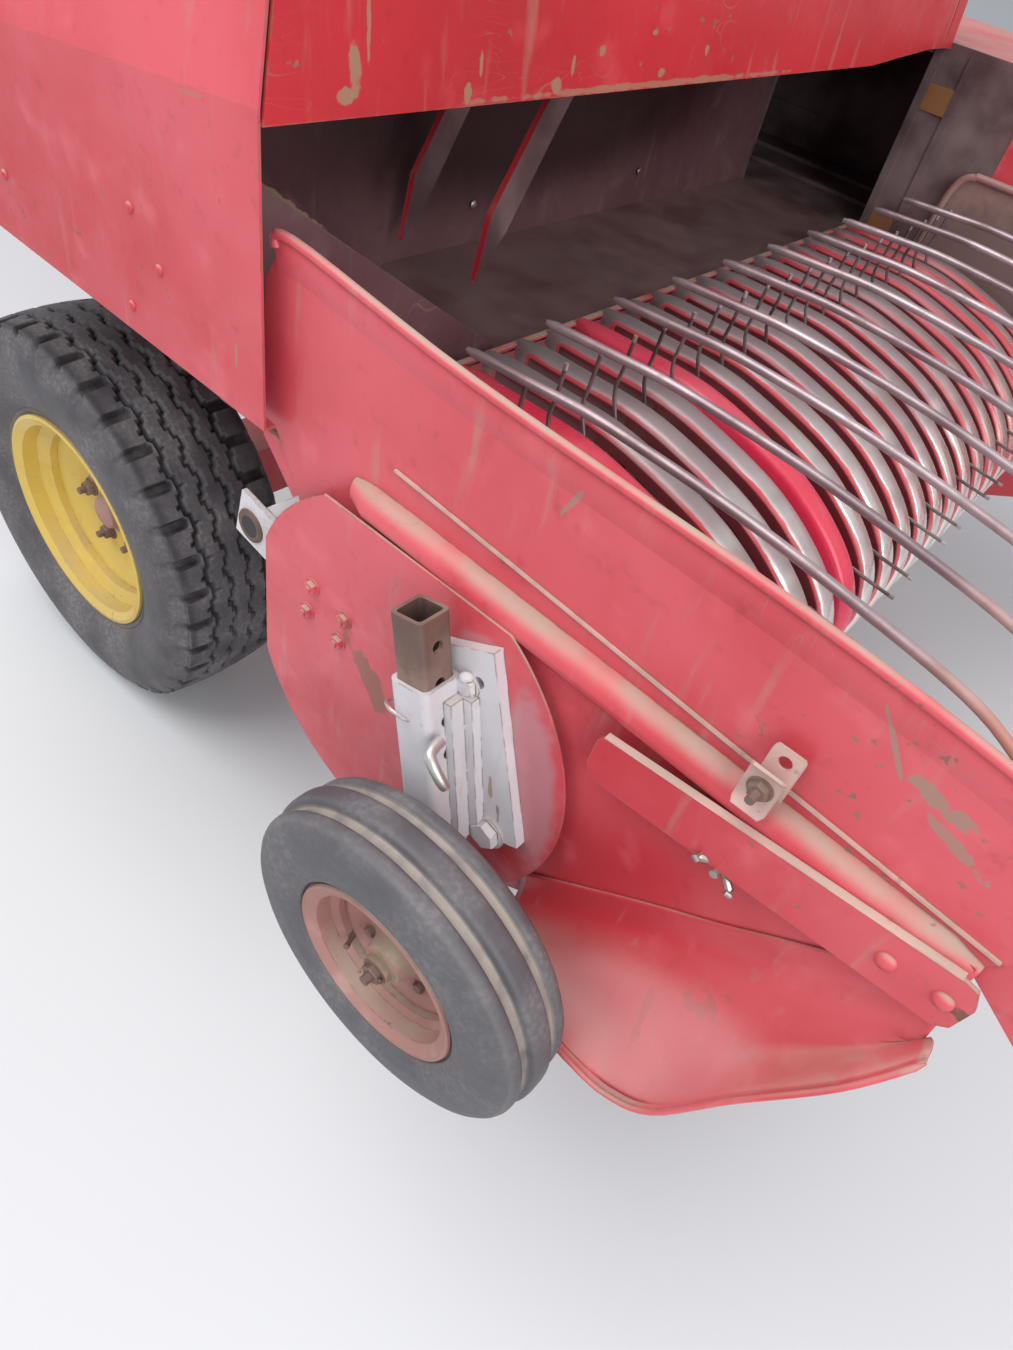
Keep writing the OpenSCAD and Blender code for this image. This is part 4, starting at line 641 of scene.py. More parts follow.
class PickupSizes(bpy.types.PropertyGroup):
    band_count: IntProperty(name="Bands", description="Number of stripper bands", default=22, min=4, max=30)
    band_pitch: FloatProperty(
        name="Band pitch", description="From one band to the next", default=BAND_PITCH, unit="LENGTH")
    band_width: FloatProperty(
        name="Band width", description="Width of one band", default=0.044, unit="LENGTH")
    tine_wire: FloatProperty(
        name="Tine wire", description="Thickness of the tine wire", default=0.0056, unit="LENGTH")
    reel_turn: FloatProperty(
        name="Reel turn", description="Angle of the first tine bar, in degrees", default=16.0)
    rod_wire: FloatProperty(
        name="Guard rod", description="Thickness of a wind guard rod", default=0.012, unit="LENGTH")


# Where the camera stands, in millimetres from the machine's own zero
CAMERA_SPOT = (1398, -596, 1554)


class MakeStage(bpy.types.Operator):
    """Floor, soft light and the camera"""

    bl_idname = "baler.stage"
    bl_label = "Stage"

    def execute(self, context):
        looks = context.scene.baler_stage
        scene = context.scene
        floor = bpy.data.meshes.new("pale_floor")
        floor.from_pydata([(-40, -40, 0), (40, -40, 0), (40, 40, 0), (-40, 40, 0)], [], [(0, 1, 2, 3)])
        floor.materials.append(plain_floor(looks.floor_tone))
        ground = bpy.data.objects.new("pale_floor", floor)
        scene.collection.objects.link(ground)
        world = bpy.data.worlds.new("soft_sky")
        scene.world = world
        world.use_nodes = True
        nodes = world.node_tree.nodes
        links = world.node_tree.links
        light = nodes["Background"]
        light.inputs[0].default_value = (0.93, 0.96, 1.0, 1.0)
        light.inputs[1].default_value = 0.66
        seen = nodes.new("ShaderNodeBackground")
        seen.inputs[1].default_value = 0.85
        pick = nodes.new("ShaderNodeMixShader")
        path = nodes.new("ShaderNodeLightPath")
        links.new(path.outputs["Is Camera Ray"], pick.inputs[0])
        links.new(light.outputs[0], pick.inputs[1])
        links.new(seen.outputs[0], pick.inputs[2])
        links.new(pick.outputs[0], nodes["World Output"].inputs[0])
        for name, spot, aim, size, power in (
                ("soft_key", (-1.5, -2.5, 5.5), (0.3, -0.6, 0.4), 5.0, 308.0),
                ("soft_fill", (5.0, -3.0, 3.6), (0.3, -0.2, 0.9), 4.0, 210.0)):
            lamp = bpy.data.lights.new(name, "AREA")
            lamp.size = size
            lamp.energy = power
            thing = bpy.data.objects.new(name, lamp)
            thing.location = spot
            thing.rotation_euler = (Vector(aim) - Vector(spot)).to_track_quat("-Z", "Y").to_euler()
            scene.collection.objects.link(thing)
        self.camera(scene, looks.lens)
        scene.view_settings.view_transform = "Standard"
        return {"FINISHED"}

    def camera(self, scene, lens):
        turn, tilt, roll = math.radians(30.8), math.radians(45.4), math.radians(15.1)
        ahead = Vector((-math.sin(turn) * math.cos(tilt), math.cos(turn) * math.cos(tilt), -math.sin(tilt)))
        right = Vector((math.cos(turn), math.sin(turn), 0.0))
        up = right.cross(ahead)
        side = math.cos(roll) * right + math.sin(roll) * up
        top = -math.sin(roll) * right + math.cos(roll) * up
        data = bpy.data.cameras.new("photo_view")
        data.sensor_fit = "VERTICAL"
        data.sensor_height = 36.0
        data.lens = lens
        data.clip_end = 200.0
        camera = bpy.data.objects.new("photo_view", data)
        turned = Matrix((side, top, -ahead)).transposed().to_4x4()
        camera.matrix_world = Matrix.Translation(at(*CAMERA_SPOT)) @ turned
        scene.collection.objects.link(camera)
        scene.camera = camera


class MakeFinishes(bpy.types.Operator):
    """Paint, steel and rubber on every part of the frame"""

    bl_idname = "baler.finishes"
    bl_label = "Finishes"

    def execute(self, context):
        make_finishes(context.scene.baler_paint)
        dress_nodes()
        return {"FINISHED"}


# The line of a band in x and z, from the feeder's mouth over the bend and back below
BAND_LINE = [
    (672, 976), (790, 977), (900, 976), (1000, 957), (1095, 927), (1172, 882), (1222, 835), (1247, 785),
    (1252, 735), (1240, 680), (1210, 625), (1165, 580), (1110, 548), (1050, 534), (960, 526), (850, 528),
    (740, 545), (604, 556)]
BRIGHT_BANDS = (3, 7)


class MakeBands(bpy.types.Operator):
    """Stripper bands, each a pressed strip with turned-down edges"""

    bl_idname = "baler.bands"
    bl_label = "Stripper bands"

    def execute(self, context):
        sizes = context.scene.baler_pickup
        section = self.section(sizes.band_width / 2)
        path = curve_through([at(x, 0, z) for x, z in BAND_LINE], 5)
        # This finish holds painted highlight streaks over the bends and painted shade on the flanks of the
        # bands.
        worn = band_steel("band_steel_worn_with_painted_light")
        fresh = paint(
            "band_red_paint", (0.62, 0.02, 0.06), (0.68, 0.05, 0.1),
            dust=0.1, wear=0.3, roughness=0.25, streak=0.1)
        shape = Shape()
        for i in range(sizes.band_count):
            y = FIRST_BAND + i * sizes.band_pitch
            rows = []
            for k, p in enumerate(path):
                way = (path[min(k + 1, len(path) - 1)] - path[max(k - 1, 0)]).normalized()
                out = Vector((-way.z, 0, way.x))
                size = min(1.0, 0.35 + k * 0.33)
                sunk = 0.004 * (1 - size)
                rows.append([p + Vector((0, y + s * size, 0)) + out * (h - 0.0002 - sunk)
                             for s, h in section])
            shape.grid(rows, 1 if i in BRIGHT_BANDS else 0, around=True, ends=True)
        finishes = [worn, fresh]
        shape.piece("stripper_bands_pressed", "pickup", "worn_steel", finishes, ["stripper_bands"], smooth=50)
        return {"FINISHED"}

    def section(self, half):
        """Across a band: its arched face with the turned-down edges, and its back."""
        arch = [(0.0, 0.0045), (0.3, 0.0042), (0.58, 0.003), (0.8, 0.0008), (0.94, -0.003), (1.0, -0.008),
                (1.0, -0.02)]
        back = [(0.88, -0.02), (0.86, -0.006), (0.55, -0.001), (0.0, 0.001)]
        left = [(-a * half, h) for a, h in reversed(arch[1:])]
        right = [(a * half, h) for a, h in arch + back]
        return left + right + [(-a * half, h) for a, h in reversed(back[:-1])]


# The reel's tine bars, their distance from its axle and the places of its carrier discs, in metres
TINE_BARS = 4
BAR_RADIUS = 0.176
CARRIER_DISCS = (0.016, 0.7975, 1.57)


class MakeTines(bpy.types.Operator):
    """The reel: shaft, carrier discs, tine bars and kinked spring tines with their coils"""

    bl_idname = "baler.tines"
    bl_label = "Reel and tines"

    def execute(self, context):
        sizes = context.scene.baler_pickup
        tines, core = Shape(), Shape()
        centre = at(REEL[0], 0, REEL[1])
        for bar in range(TINE_BARS):
            angle = math.radians(360 / TINE_BARS * bar + sizes.reel_turn)
            spin = Matrix.Rotation(-angle, 4, "Y")
            core.tube([centre + spin @ Vector((BAR_RADIUS, y, 0)) for y in (0.017, 1.579)], 0.014, 16)
            for i in range(sizes.band_count - 1):
                y = FIRST_BAND + (i + 0.5) * sizes.band_pitch
                self.tine(tines, centre, spin, y, sizes.tine_wire / 2)
        core.tube([centre + Vector((0, y, 0)) for y in (-0.055, 1.597)], 0.022, 24)
        disc = [(0.021, -0.012), (0.045, -0.012), (0.048, 0.0), (0.166, 0.0), (0.17, 0.003), (0.17, 0.01),
                (0.162, 0.01), (0.16, 0.004), (0.048, 0.004), (0.045, 0.018), (0.021, 0.018)]
        for y in CARRIER_DISCS:
            core.lathe([(radius, y + side) for radius, side in disc], centre, 64)
        finishes = [FINISHES["tine_steel"], FINISHES["zinc"]]
        tines.piece("spring_tines", "reel", "dark_steel", finishes, ["reel_tines"])
        core.piece("reel_core_turned", "reel", "dull_red", [FINISHES["reel_dark"]], ["reel_core"])
        return {"FINISHED"}

    def tine(self, shape, centre, spin, y, wire):
        """A kinked wire with a bright tip, and the coil that holds it on its bar."""
        line = [(0.1905, 0.0), (0.215, 0.006), (0.262, 0.011), (0.278, 0.009), (0.3, -0.001),
                (0.338, -0.0155)]
        tip = [(0.3375, -0.0153), (0.345, -0.018)]
        shape.tube([centre + spin @ Vector((x, y, z)) for x, z in line], wire, 8)
        shape.tube([centre + spin @ Vector((x, y, z)) for x, z in tip], wire * 1.1, 8, 1)
        coil = []
        for k in range(25):
            a = 4 * math.pi * k / 24
            place = (BAR_RADIUS + 0.0172 * math.cos(a), y - 0.0065 + 0.013 * k / 24, 0.0172 * math.sin(a))
            coil.append(centre + spin @ Vector(place))
        shape.tube(coil, wire, 6)


# The wind guard's rods: how many, where the first one is and how far the next, in millimetres
GUARD_RODS = 10
FIRST_ROD = 140
ROD_PITCH = 142


class MakeRods(bpy.types.Operator):
    """Wind guard rods over the pickup, smooth bent bars in a cross tube"""

    bl_idname = "baler.rods"
    bl_label = "Wind guard"

    def execute(self, context):
        radius = context.scene.baler_pickup.rod_wire / 2
        line = [(800, 1088), (900, 1094), (1000, 1098), (1170, 1090), (1310, 1074), (1430, 1054),
                (1500, 1025), (1600, 970), (1660, 940)]
        shape = Shape()
        for i in range(GUARD_RODS):
            path = curve_through([at(x, FIRST_ROD + ROD_PITCH * i, z) for x, z in line], 5)
            shape.tube(path, [radius * 0.6] + [radius] * (len(path) - 1), 12)
        shape.tube([at(GUARD[0], y, GUARD[1]) for y in (-35, 1586)], 0.016, 20, 1)
        finishes = [rod_steel("rod_steel"), FINISHES["red"]]
        shape.piece("wind_guard_rods", "guard", "worn_steel", finishes, ["wind_guard"])
        return {"FINISHED"}


# Steps round a road tyre, steps from one tread block to the next, and columns across the tread
ROAD_STEPS = 432
TREAD_BEAT = 12
TREAD_COLUMNS = 33


class MakeTyres(bpy.types.Operator):
    """Road tyres with a block tread and the ribbed gauge tyre"""

    bl_idname = "baler.tyres"
    bl_label = "Tyres"

    def execute(self, context):
        for name, _, body, sense in ROAD_WHEELS:
            middle = [(a + b) / 2 for a, b in zip(*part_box(name))]
            # Painted shade: the road tyres' grooves take a near-black tone.
            wheel = (middle, ROAD_RADIUS, 0.115, 0.009, (0.02, 0.017, 0.019))
            tread = rubber(name + "_rubber", (0.052, 0.049, 0.055), (0.28, 0.255, 0.26), 0.62, wheel)
            shape = Shape()
            self.road_tyre(shape, outer_face(name, sense), sense)
            shape.piece(name + "_road", body, "tyre", [tread], [name], smooth=42)
        low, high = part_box("gauge_tyre")
        middle = [(a + b) / 2 for a, b in zip(low, high)]
        wheel = (middle, GAUGE_RADIUS, 0.046, 0.011, (0.3, 0.26, 0.225))
        tread = rubber("gauge_tyre_rubber", (0.07, 0.067, 0.076), (0.26, 0.245, 0.245), 0.55, wheel)
        shape = Shape()
        shape.lathe(self.ribs(high[1] - low[1], (high[2] - low[2]) / 2), outer_face("gauge_tyre"), 128)
        shape.piece("gauge_tyre_ribbed", "wheel_gauge", "tyre", [tread], ["gauge_tyre"], smooth=42)
        return {"FINISHED"}

    def road_tyre(self, shape, centre, sense):
        half = ROAD_WIDTH / 2
        side = [(0.197, 0.036), (0.208, 0.03), (0.222, 0.0245), (0.2245, 0.026), (0.232, 0.019),
                (0.25, 0.009), (0.28, 0.0015), (0.31, 0.0), (0.33, 0.002), (0.334, 0.0045), (0.345, 0.007)]
        crown = [(0.356, 0.012), (0.3635, 0.018), (0.3665, 0.022)]
        across = [0.022 + (ROAD_WIDTH - 0.044) * k / (TREAD_COLUMNS - 1) for k in range(TREAD_COLUMNS)]
        rows = []
        for step in range(ROAD_STEPS):
            near, far = (0.009 if (step + shift) % TREAD_BEAT < 3 else 0.0 for shift in (0, 6))
            row = side + [(r - near, y) for r, y in crown]
            for y in across:
                u = (y - half) / half
                row.append((ROAD_RADIUS - 0.0125 * u * u - self.groove(step, (y - half) * 1000), y))
            row.extend((r - far, ROAD_WIDTH - y) for r, y in reversed(crown))
            row.extend((r, ROAD_WIDTH - y) for r, y in reversed(side))
            rows.append([about(centre, r, 2 * math.pi * step / ROAD_STEPS, sense * y) for r, y in row])
        shape.grid(rows, along=True, around=True)

    def groove(self, step, y):
        """Depth of the tread pattern: four zigzag grooves round the tyre and slots across its shoulders."""
        zig = abs(((step % TREAD_BEAT) / TREAD_BEAT) * 2 - 1) * 2 - 1
        depth = 0.0
        for place, swing, wide in ((-58, 6, 5.0), (-20, 7, 4.5), (20, -7, 4.5), (58, -6, 5.0)):
            if abs(y - place - swing * zig) < wide:
                depth = 0.009
        beat = (step + (6 if y > 0 else 0)) % TREAD_BEAT
        if abs(y) > 62 and beat < 3:
            depth = max(depth, 0.011)
        return depth

    def ribs(self, width, radius):
        """Half of the gauge tyre's section up to its middle rib, and the same mirrored."""
        wall = [(0.104, 0.017), (0.116, 0.0125), (0.1195, 0.0135), (0.122, 0.008), (0.135, 0.002),
                (0.1395, 0.0022), (0.142, 0.0005), (0.15, 0.0), (0.168, 0.001)]
        tread = [(0.024, 0.004), (0.014, 0.0085), (0.008, 0.014), (0.0055, 0.019), (0.005, 0.0245),
                 (0.0065, 0.0275), (0.0105, 0.0295), (0.0115, 0.034), (0.0105, 0.0395), (0.003, 0.0415),
                 (0.0008, 0.044), (0.0, 0.049)]
        half = wall + [(radius - depth, y) for depth, y in tread]
        return half + [(r, width - y) for r, y in reversed(half)]


# Top edge of the right flare in x and z
RIGHT_LIP = [(694, 1186), (718, 1203), (960, 1178), (1280, 1164), (1460, 1148), (1600, 1123), (1628, 1104)]

# The lower shield from back to front: x and z of its crease, then y and z of its belly and of its lip
PAN_ROWS = [
    ((1169, 592), (-72, 562), (-98, 556)), ((1228, 640), (-92, 585), (-122, 566)),
    ((1287, 689), (-106, 606), (-140, 588)), ((1336, 728), (-112, 624), (-150, 600)),
    ((1385, 765), (-116, 650), (-150, 604)), ((1430, 803), (-108, 690), (-146, 640)),
    ((1475, 840), (-94, 750), (-130, 740)), ((1530, 885), (-76, 830), (-100, 828)),
    ((1564, 900), (-58, 888), (-68, 890))]


class MakeSheets(bpy.types.Operator):
    """Flares with rolled lips, the ridge, the strap, the lower shield, the lift arm and the pickup's frame"""

    bl_idname = "baler.sheets"
    bl_label = "Pickup sheets"

    def execute(self, context):
        red, edge, grey = FINISHES["pickup_red"], FINISHES["dusty_edge"], FINISHES["grey_paint"]
        arm = [grey, FINISHES["rust"], FINISHES["guard_black"]]
        inside, dark = FINISHES["flare_inside"], FINISHES["dark_steel"]
        replaced = ["flare_right", "strap"]
        self.make(self.right_flare, "flare_right_pressed", "red", [red, edge], replaced, smooth=40)
        replaced = ["lower_shield"]
        self.make(self.pan, "lower_shield_pressed", "red", [red, edge], replaced, smooth=60, thick=0.0025)
        self.make(self.pan_back, "lower_shield_back", "red", [red])
        self.make(self.lift_arm, "lift_arm_bar", "grey_paint", arm, ["lift_arm"], bevel=0.0008)
        self.make(self.left_flare, "flare_left_pressed", "red", [inside], ["flare_left"], smooth=40)
        self.make(self.pickup_frame, "pickup_frame_tube", "red", [red], ["pickup_frame"], bevel=0.0006)
        self.make(self.floor_skirt, "feeder_floor_skirt", "dark_steel", [dark], body="frame", bevel=0.0006)
        return {"FINISHED"}

    def make(self, build, name, slot, finishes, replaced=(), body="pickup", **form):
        shape = Shape()
        build(shape)
        shape.piece(name, body, slot, finishes, replaced, **form)

    def floor_skirt(self, shape):
        """Closes the side of the feeder between its sloping floor and the level one."""
        for x in (640.5, 643.0):
            shape.verts.extend([at(x, -20, 1222.5), at(x, -20, 955.4), at(x, 395, 955.4)])
        shape.faces += [[0, 1, 2], [5, 4, 3], [0, 3, 4, 1], [1, 4, 5, 2], [2, 5, 3, 0]]
        shape.kinds += [0] * 5

    def lift_arm(self, shape):
        """Flat bar with a bush let into its end, and the brace behind it."""
        shape.plate([(612, 797), (628, 868), (800, 834), (786, 762)], -43, 8)
        shape.plate([(655, 850), (765, 952), (782, 932), (708, 862)], -35, 6)
        for outer, inner, radius, sides, kind in (
                (-45.5, -34, 0.023, 28, 1), (-46.3, -34, 0.02, 28, 1), (-46.5, -44, 0.0155, 24, 2)):
            shape.tube([at(645, y, 822) for y in (outer, inner)], radius, sides, kind)

    def pickup_frame(self, shape):
        """Cross tube, two arms, the strip under the bands and the right end plate with the reel's bearing."""
        shape.tube([at(590, y, 590) for y in (60, 1588)], 0.032, 24)
        for y in (345, 1494):
            shape.plate([*arc(470, 780, 34, 20, 205, 16), (562, 580), (620, 600)], y, 10)
        for low, high in ((346, 386), (1470, 1500)):
            shape.tube([at(470, y, 780) for y in (low, high)], 0.018, 24)
        shape.block(at(664, -33.7, 966), at(674, 1572, 970.7))
        round_reel = arc(*REEL, 200, 40, -215, 40)
        shape.plate([(662, 972), (700, 972), (760, 900), (1150, 900), (1150, 880), *round_reel, (736, 884),
                     (662, 962)], -34.7, 6)
        for low, high in ((-0.0597, -0.0347), (-0.0287, -0.0097)):
            bearing = [(0.0223, low), (0.045, low), (0.045, high), (0.0223, high)]
            shape.lathe(bearing, at(REEL[0], 0, REEL[1]), 32)

    def hinge_ear(self, shape, y):
        """Carries the wind guard's cross tube."""
        shape.plate([(1400, 1060), (1440, 1100), *reversed(arc(*GUARD, 36, -115, 65))], y, 10)

    def right_flare(self, shape):
        front = [(1640, 1080), (1612, 1052), (1590, 1030), (1566, 992), (1549, 960), (1543, 920), (1540, 880)]
        back, low = [(664, 985), (668, 1090), (674, 1150)], [(1400, 880), (1150, 899), (740, 899), (690, 985)]
        shape.plate([*back, *RIGHT_LIP, *front, *low], FLARE_FACE, 3)
        lip = curve_through([at(x, FLARE_FACE - 2.5, z) for x, z in RIGHT_LIP], 6)
        shape.tube(lip, [0.001] + [0.0052] * (len(lip) - 2) + [0.001], 12)
        soft = [(0, -1), (-3, -8), (-3.5, -18), (-2, -30), (1, -44)]
        steps = [Vector((0, (y + 2.5) * 0.001, (z + 2) * 0.001)) for y, z in soft]
        shape.grid([[p + step for step in steps] for p in lip[4:-3]])
        self.ridge(shape)
        self.seam(shape)
        self.strap(shape)
        self.hinge_ear(shape, -36)

    def seam(self, shape):
        """The dusty folded seam above the ridge."""
        line = [at(x, FLARE_FACE - 2.5, z) for x, z in (
            (878, 1041), (1080, 1026), (1268, 1011), (1420, 1000), (1561, 989))]
        across = [Vector((0, y, z)) for y, z in (
            (0.004, 0.0013), (-0.0008, 0.0013), (-0.0008, -0.0013), (0.004, -0.0013))]
        for a, b in zip(line, line[1:]):
            shape.grid([[a + step, b + step] for step in across], 1, ends=True)

    def strap(self, shape):
        """The strap over the front of the ridge, its dusty top edge and the posts behind it."""
        top = [(1204, 948), (1380, 965), (1546, 981)]
        rest = [(1560, 978), (1568, 960), (1566, 926), (1556, 915), (1400, 902), (1214, 888), (1202, 892),
                (1196, 905)]
        shape.plate([(1198, 940), *top, *rest], STRAP_FACE, 5)
        rows = [[at(x, STRAP_FACE + y, z + up) for x, z in top]
                for y, up in ((-0.5, 0), (4, 1.2), (8, 1.6), (8, -1), (4, -1))]
        shape.grid(rows, 1, along=True)
        for x, z in ((1240, 915), (1400, 932), (1530, 945)):
            shape.tube([at(x, y, z) for y in (-64.5, -44)], 0.01, 16)

    def ridge(self, shape):
        """The pressed ridge along the flare, rounded off at both ends."""
        section = [(2, 3), (-4, 3), (-11, 1), (-17, -4), (-21, -11), (-22.5, -18), (-22, -24), (-19, -29),
                   (-12, -32), (2, -33)]
        steps = 24
        rows = []
        for k in range(steps + 1):
            t = k / steps
            x, z = 824 + (1556 - 824) * t, 1004 - 24 * t
            full = min(1.0, 0.45 + t * 30, 0.3 + (1 - t) * 30)
            rows.append([at(x, FLARE_FACE + y * full, z + h * (0.6 + 0.4 * full) - 10 * (1 - full))
                         for y, h in section])
        shape.grid(rows, ends=True)

    def pan(self, shape):
        lengths = []
        for (x, z), belly, lip in PAN_ROWS:
            between = ((belly[0] - 58) / 2, (belly[1] + z - 22) / 2 - 4)
            lengths.append([
                (x - 6, -45.5, z + 42), (x, -46.5, z + 6), (x + 2, -58, z - 22), (x + 4, *between),
                (x + 6, *belly), (x + 8, *lip), (x + 9, lip[0] - 7, lip[1] - 3),
                (x + 9, lip[0] - 15, lip[1] - 1)])
        across = [curve_through([at(*row[k]) for row in lengths], 5) for k in range(len(lengths[0]))]
        rows = [curve_through([line[i] for line in across], 4) for i in range(len(across[0]))]
        shape.grid(rows)
        hem = [row[-1] for row in rows]
        shape.tube(hem, [0.001] + [0.0034] * (len(hem) - 2) + [0.001], 10)

    def pan_back(self, shape):
        crease = [place for place, belly, lip in reversed(PAN_ROWS)]
        shape.plate([(1080, 974), (1552, 974), *crease, (1120, 560), *arc(939, 755, 212, -48, 62)], -45, 3)

    def left_flare(self, shape):
        lip = [(806, 915), (818, 942), (829, 1056), (833, 1090), (845, 1120), (866, 1132), (901, 1135),
               (1160, 1134), (1400, 1128), (1600, 1092), (1636, 1076)]
        edge = curve_through([at(x, 1586, z) for x, z in lip], 6)
        top = [((p.x - ZERO.x) * 1000, (p.z - ZERO.z) * 1000) for p in edge]
        low = [(1600, 1000), (1500, 800), (1300, 600), (1000, 450), (760, 490), (555, 555), (555, 640),
               (700, 820)]
        shape.plate(top + low, 1590, 3)
        shape.tube(edge, [0.002] + [0.0075] * (len(edge) - 2) + [0.002], 14)
        self.hinge_ear(shape, 1582)


# The road rims' studs, and the radius of their circle in metres
STUDS = 5
STUD_CIRCLE = 0.0785


class MakeRims(bpy.types.Operator):
    """Dished rims with studs, hub caps and valves"""

    bl_idname = "baler.rims"
    bl_label = "Rims"

    def execute(self, context):
        for tyre, name, body, sense in ROAD_WHEELS:
            self.road_rim(name, outer_face(tyre, sense), body, sense)
        self.gauge_rim(outer_face("gauge_tyre"))
        return {"FINISHED"}

    def road_rim(self, name, centre, body, sense):
        """Well, dish and hub, each a section of (radius, depth from the tyre's outer face)."""
        seat = 0.1955
        well = [(0.212, 0.0225), (0.2125, 0.027), (0.2115, 0.031), (seat, 0.0335), (seat, 0.062),
                (0.173, 0.076), (0.173, 0.168), (seat, 0.184), (seat, 0.2305), (0.2115, 0.233),
                (0.2125, 0.238), (0.212, 0.2415), (0.205, 0.243), (0.19, 0.2325), (0.189, 0.186),
                (0.167, 0.17), (0.167, 0.074), (0.189, 0.059), (0.19, 0.031), (0.205, 0.021)]
        dish = [(0.1665, 0.088), (0.158, 0.0885), (0.146, 0.094), (0.132, 0.104), (0.118, 0.1085),
                (0.1, 0.109), (0.085, 0.1085), (0.06, 0.1085), (0.048, 0.1085), (0.048, 0.1165),
                (0.1, 0.117), (0.13, 0.1125), (0.15, 0.1015), (0.1665, 0.097)]
        hub = [(0.0005, 0.078), (0.024, 0.079), (0.031, 0.083), (0.033, 0.09), (0.033, 0.098),
               (0.044, 0.1), (0.0465, 0.104), (0.0465, 0.128), (0.0005, 0.128)]
        shape = Shape()
        for section, steps, kind in ((well, 96, 0), (dish, 96, 0), (hub, 48, 1)):
            shape.lathe([(r, sense * y) for r, y in section], centre, steps, kind)
        for k in range(STUDS):
            spot = about(centre, STUD_CIRCLE, math.radians(360 / STUDS * k + 30), sense * 0.1085)
            shape.bolt(spot, (0, -sense, 0), 0.027, 0.017, 2, shank=0.013)
        for k in range(8):
            a = math.radians(45 * k + 10)
            shape.tube([about(centre, 0.1668, a, sense * y) for y in (0.0875, 0.0975)], 0.005, 8)
        stem = [(0.158, 0.09), (0.15, 0.078), (0.144, 0.068), (0.142, 0.06)]
        a = math.radians(-20 if sense > 0 else 200)
        shape.tube([about(centre, r, a, sense * y) for r, y in stem], [0.0055, 0.0045, 0.0045, 0.0055], 10, 2)
        finishes = [FINISHES["yellow_rim"], FINISHES["dull_red"], FINISHES["rust"]]
        shape.piece(name + "_dished", body, "yellow_rim", finishes, [name])

    def gauge_rim(self, centre):
        """Well, bowl with its bolts, hub nut with a split pin, valve and the hub's back."""
        well = [(0.1165, 0.0075), (0.1175, 0.0105), (0.116, 0.0125), (0.1035, 0.0165), (0.1035, 0.036),
                (0.094, 0.042), (0.094, 0.07), (0.1035, 0.075), (0.1035, 0.0945), (0.116, 0.0985),
                (0.1175, 0.1005), (0.1165, 0.1035), (0.112, 0.1045), (0.0985, 0.0965), (0.0985, 0.077),
                (0.089, 0.072), (0.089, 0.04), (0.0985, 0.034), (0.0985, 0.0145), (0.112, 0.0065)]
        bowl = [(0.0888, 0.049), (0.084, 0.047), (0.079, 0.0475), (0.073, 0.051), (0.066, 0.056),
                (0.055, 0.058), (0.042, 0.054), (0.033, 0.046), (0.029, 0.038), (0.0275, 0.03),
                (0.0255, 0.024), (0.02, 0.0215), (0.0185, 0.0205), (0.0185, 0.015), (0.0175, 0.013),
                (0.0005, 0.0125), (0.0005, 0.062), (0.0888, 0.062)]
        shape = Shape()
        shape.lathe(well, centre, 80)
        shape.lathe(bowl, centre, 80)
        shape.bolt(centre + Vector((0, 0.013, 0)), (0, -1, 0), 0.023, 0.008, 1, shank=0.009)
        split_pin = [centre + Vector((x, 0.0085, z)) for x, z in ((-0.014, -0.004), (0.015, 0.004))]
        shape.tube(split_pin, 0.0022, 8, 1)
        for k in range(4):
            shape.bolt(about(centre, 0.0605, math.radians(90 * k + 35), 0.0575), (0, -1, 0), 0.013, 0.007, 1)
        a = math.radians(-140)
        valve = [about(centre, r, a, y) for r, y in ((0.0885, 0.05), (0.082, 0.036), (0.077, 0.027))]
        shape.tube(valve, [0.004, 0.003, 0.004], 8, 1)
        shape.tube([centre + Vector((0, y, 0)) for y in (0.1, 0.062)], 0.029, 24)
        finishes = [FINISHES["dull_red"], FINISHES["rust"]]
        shape.piece("gauge_rim_dished", "wheel_gauge", "dull_red", finishes, ["gauge_rim"])


# Places of the finishes that the fasteners share
RED, ZINC, GREY, RUSTY, WORN, DUSTY = range(6)


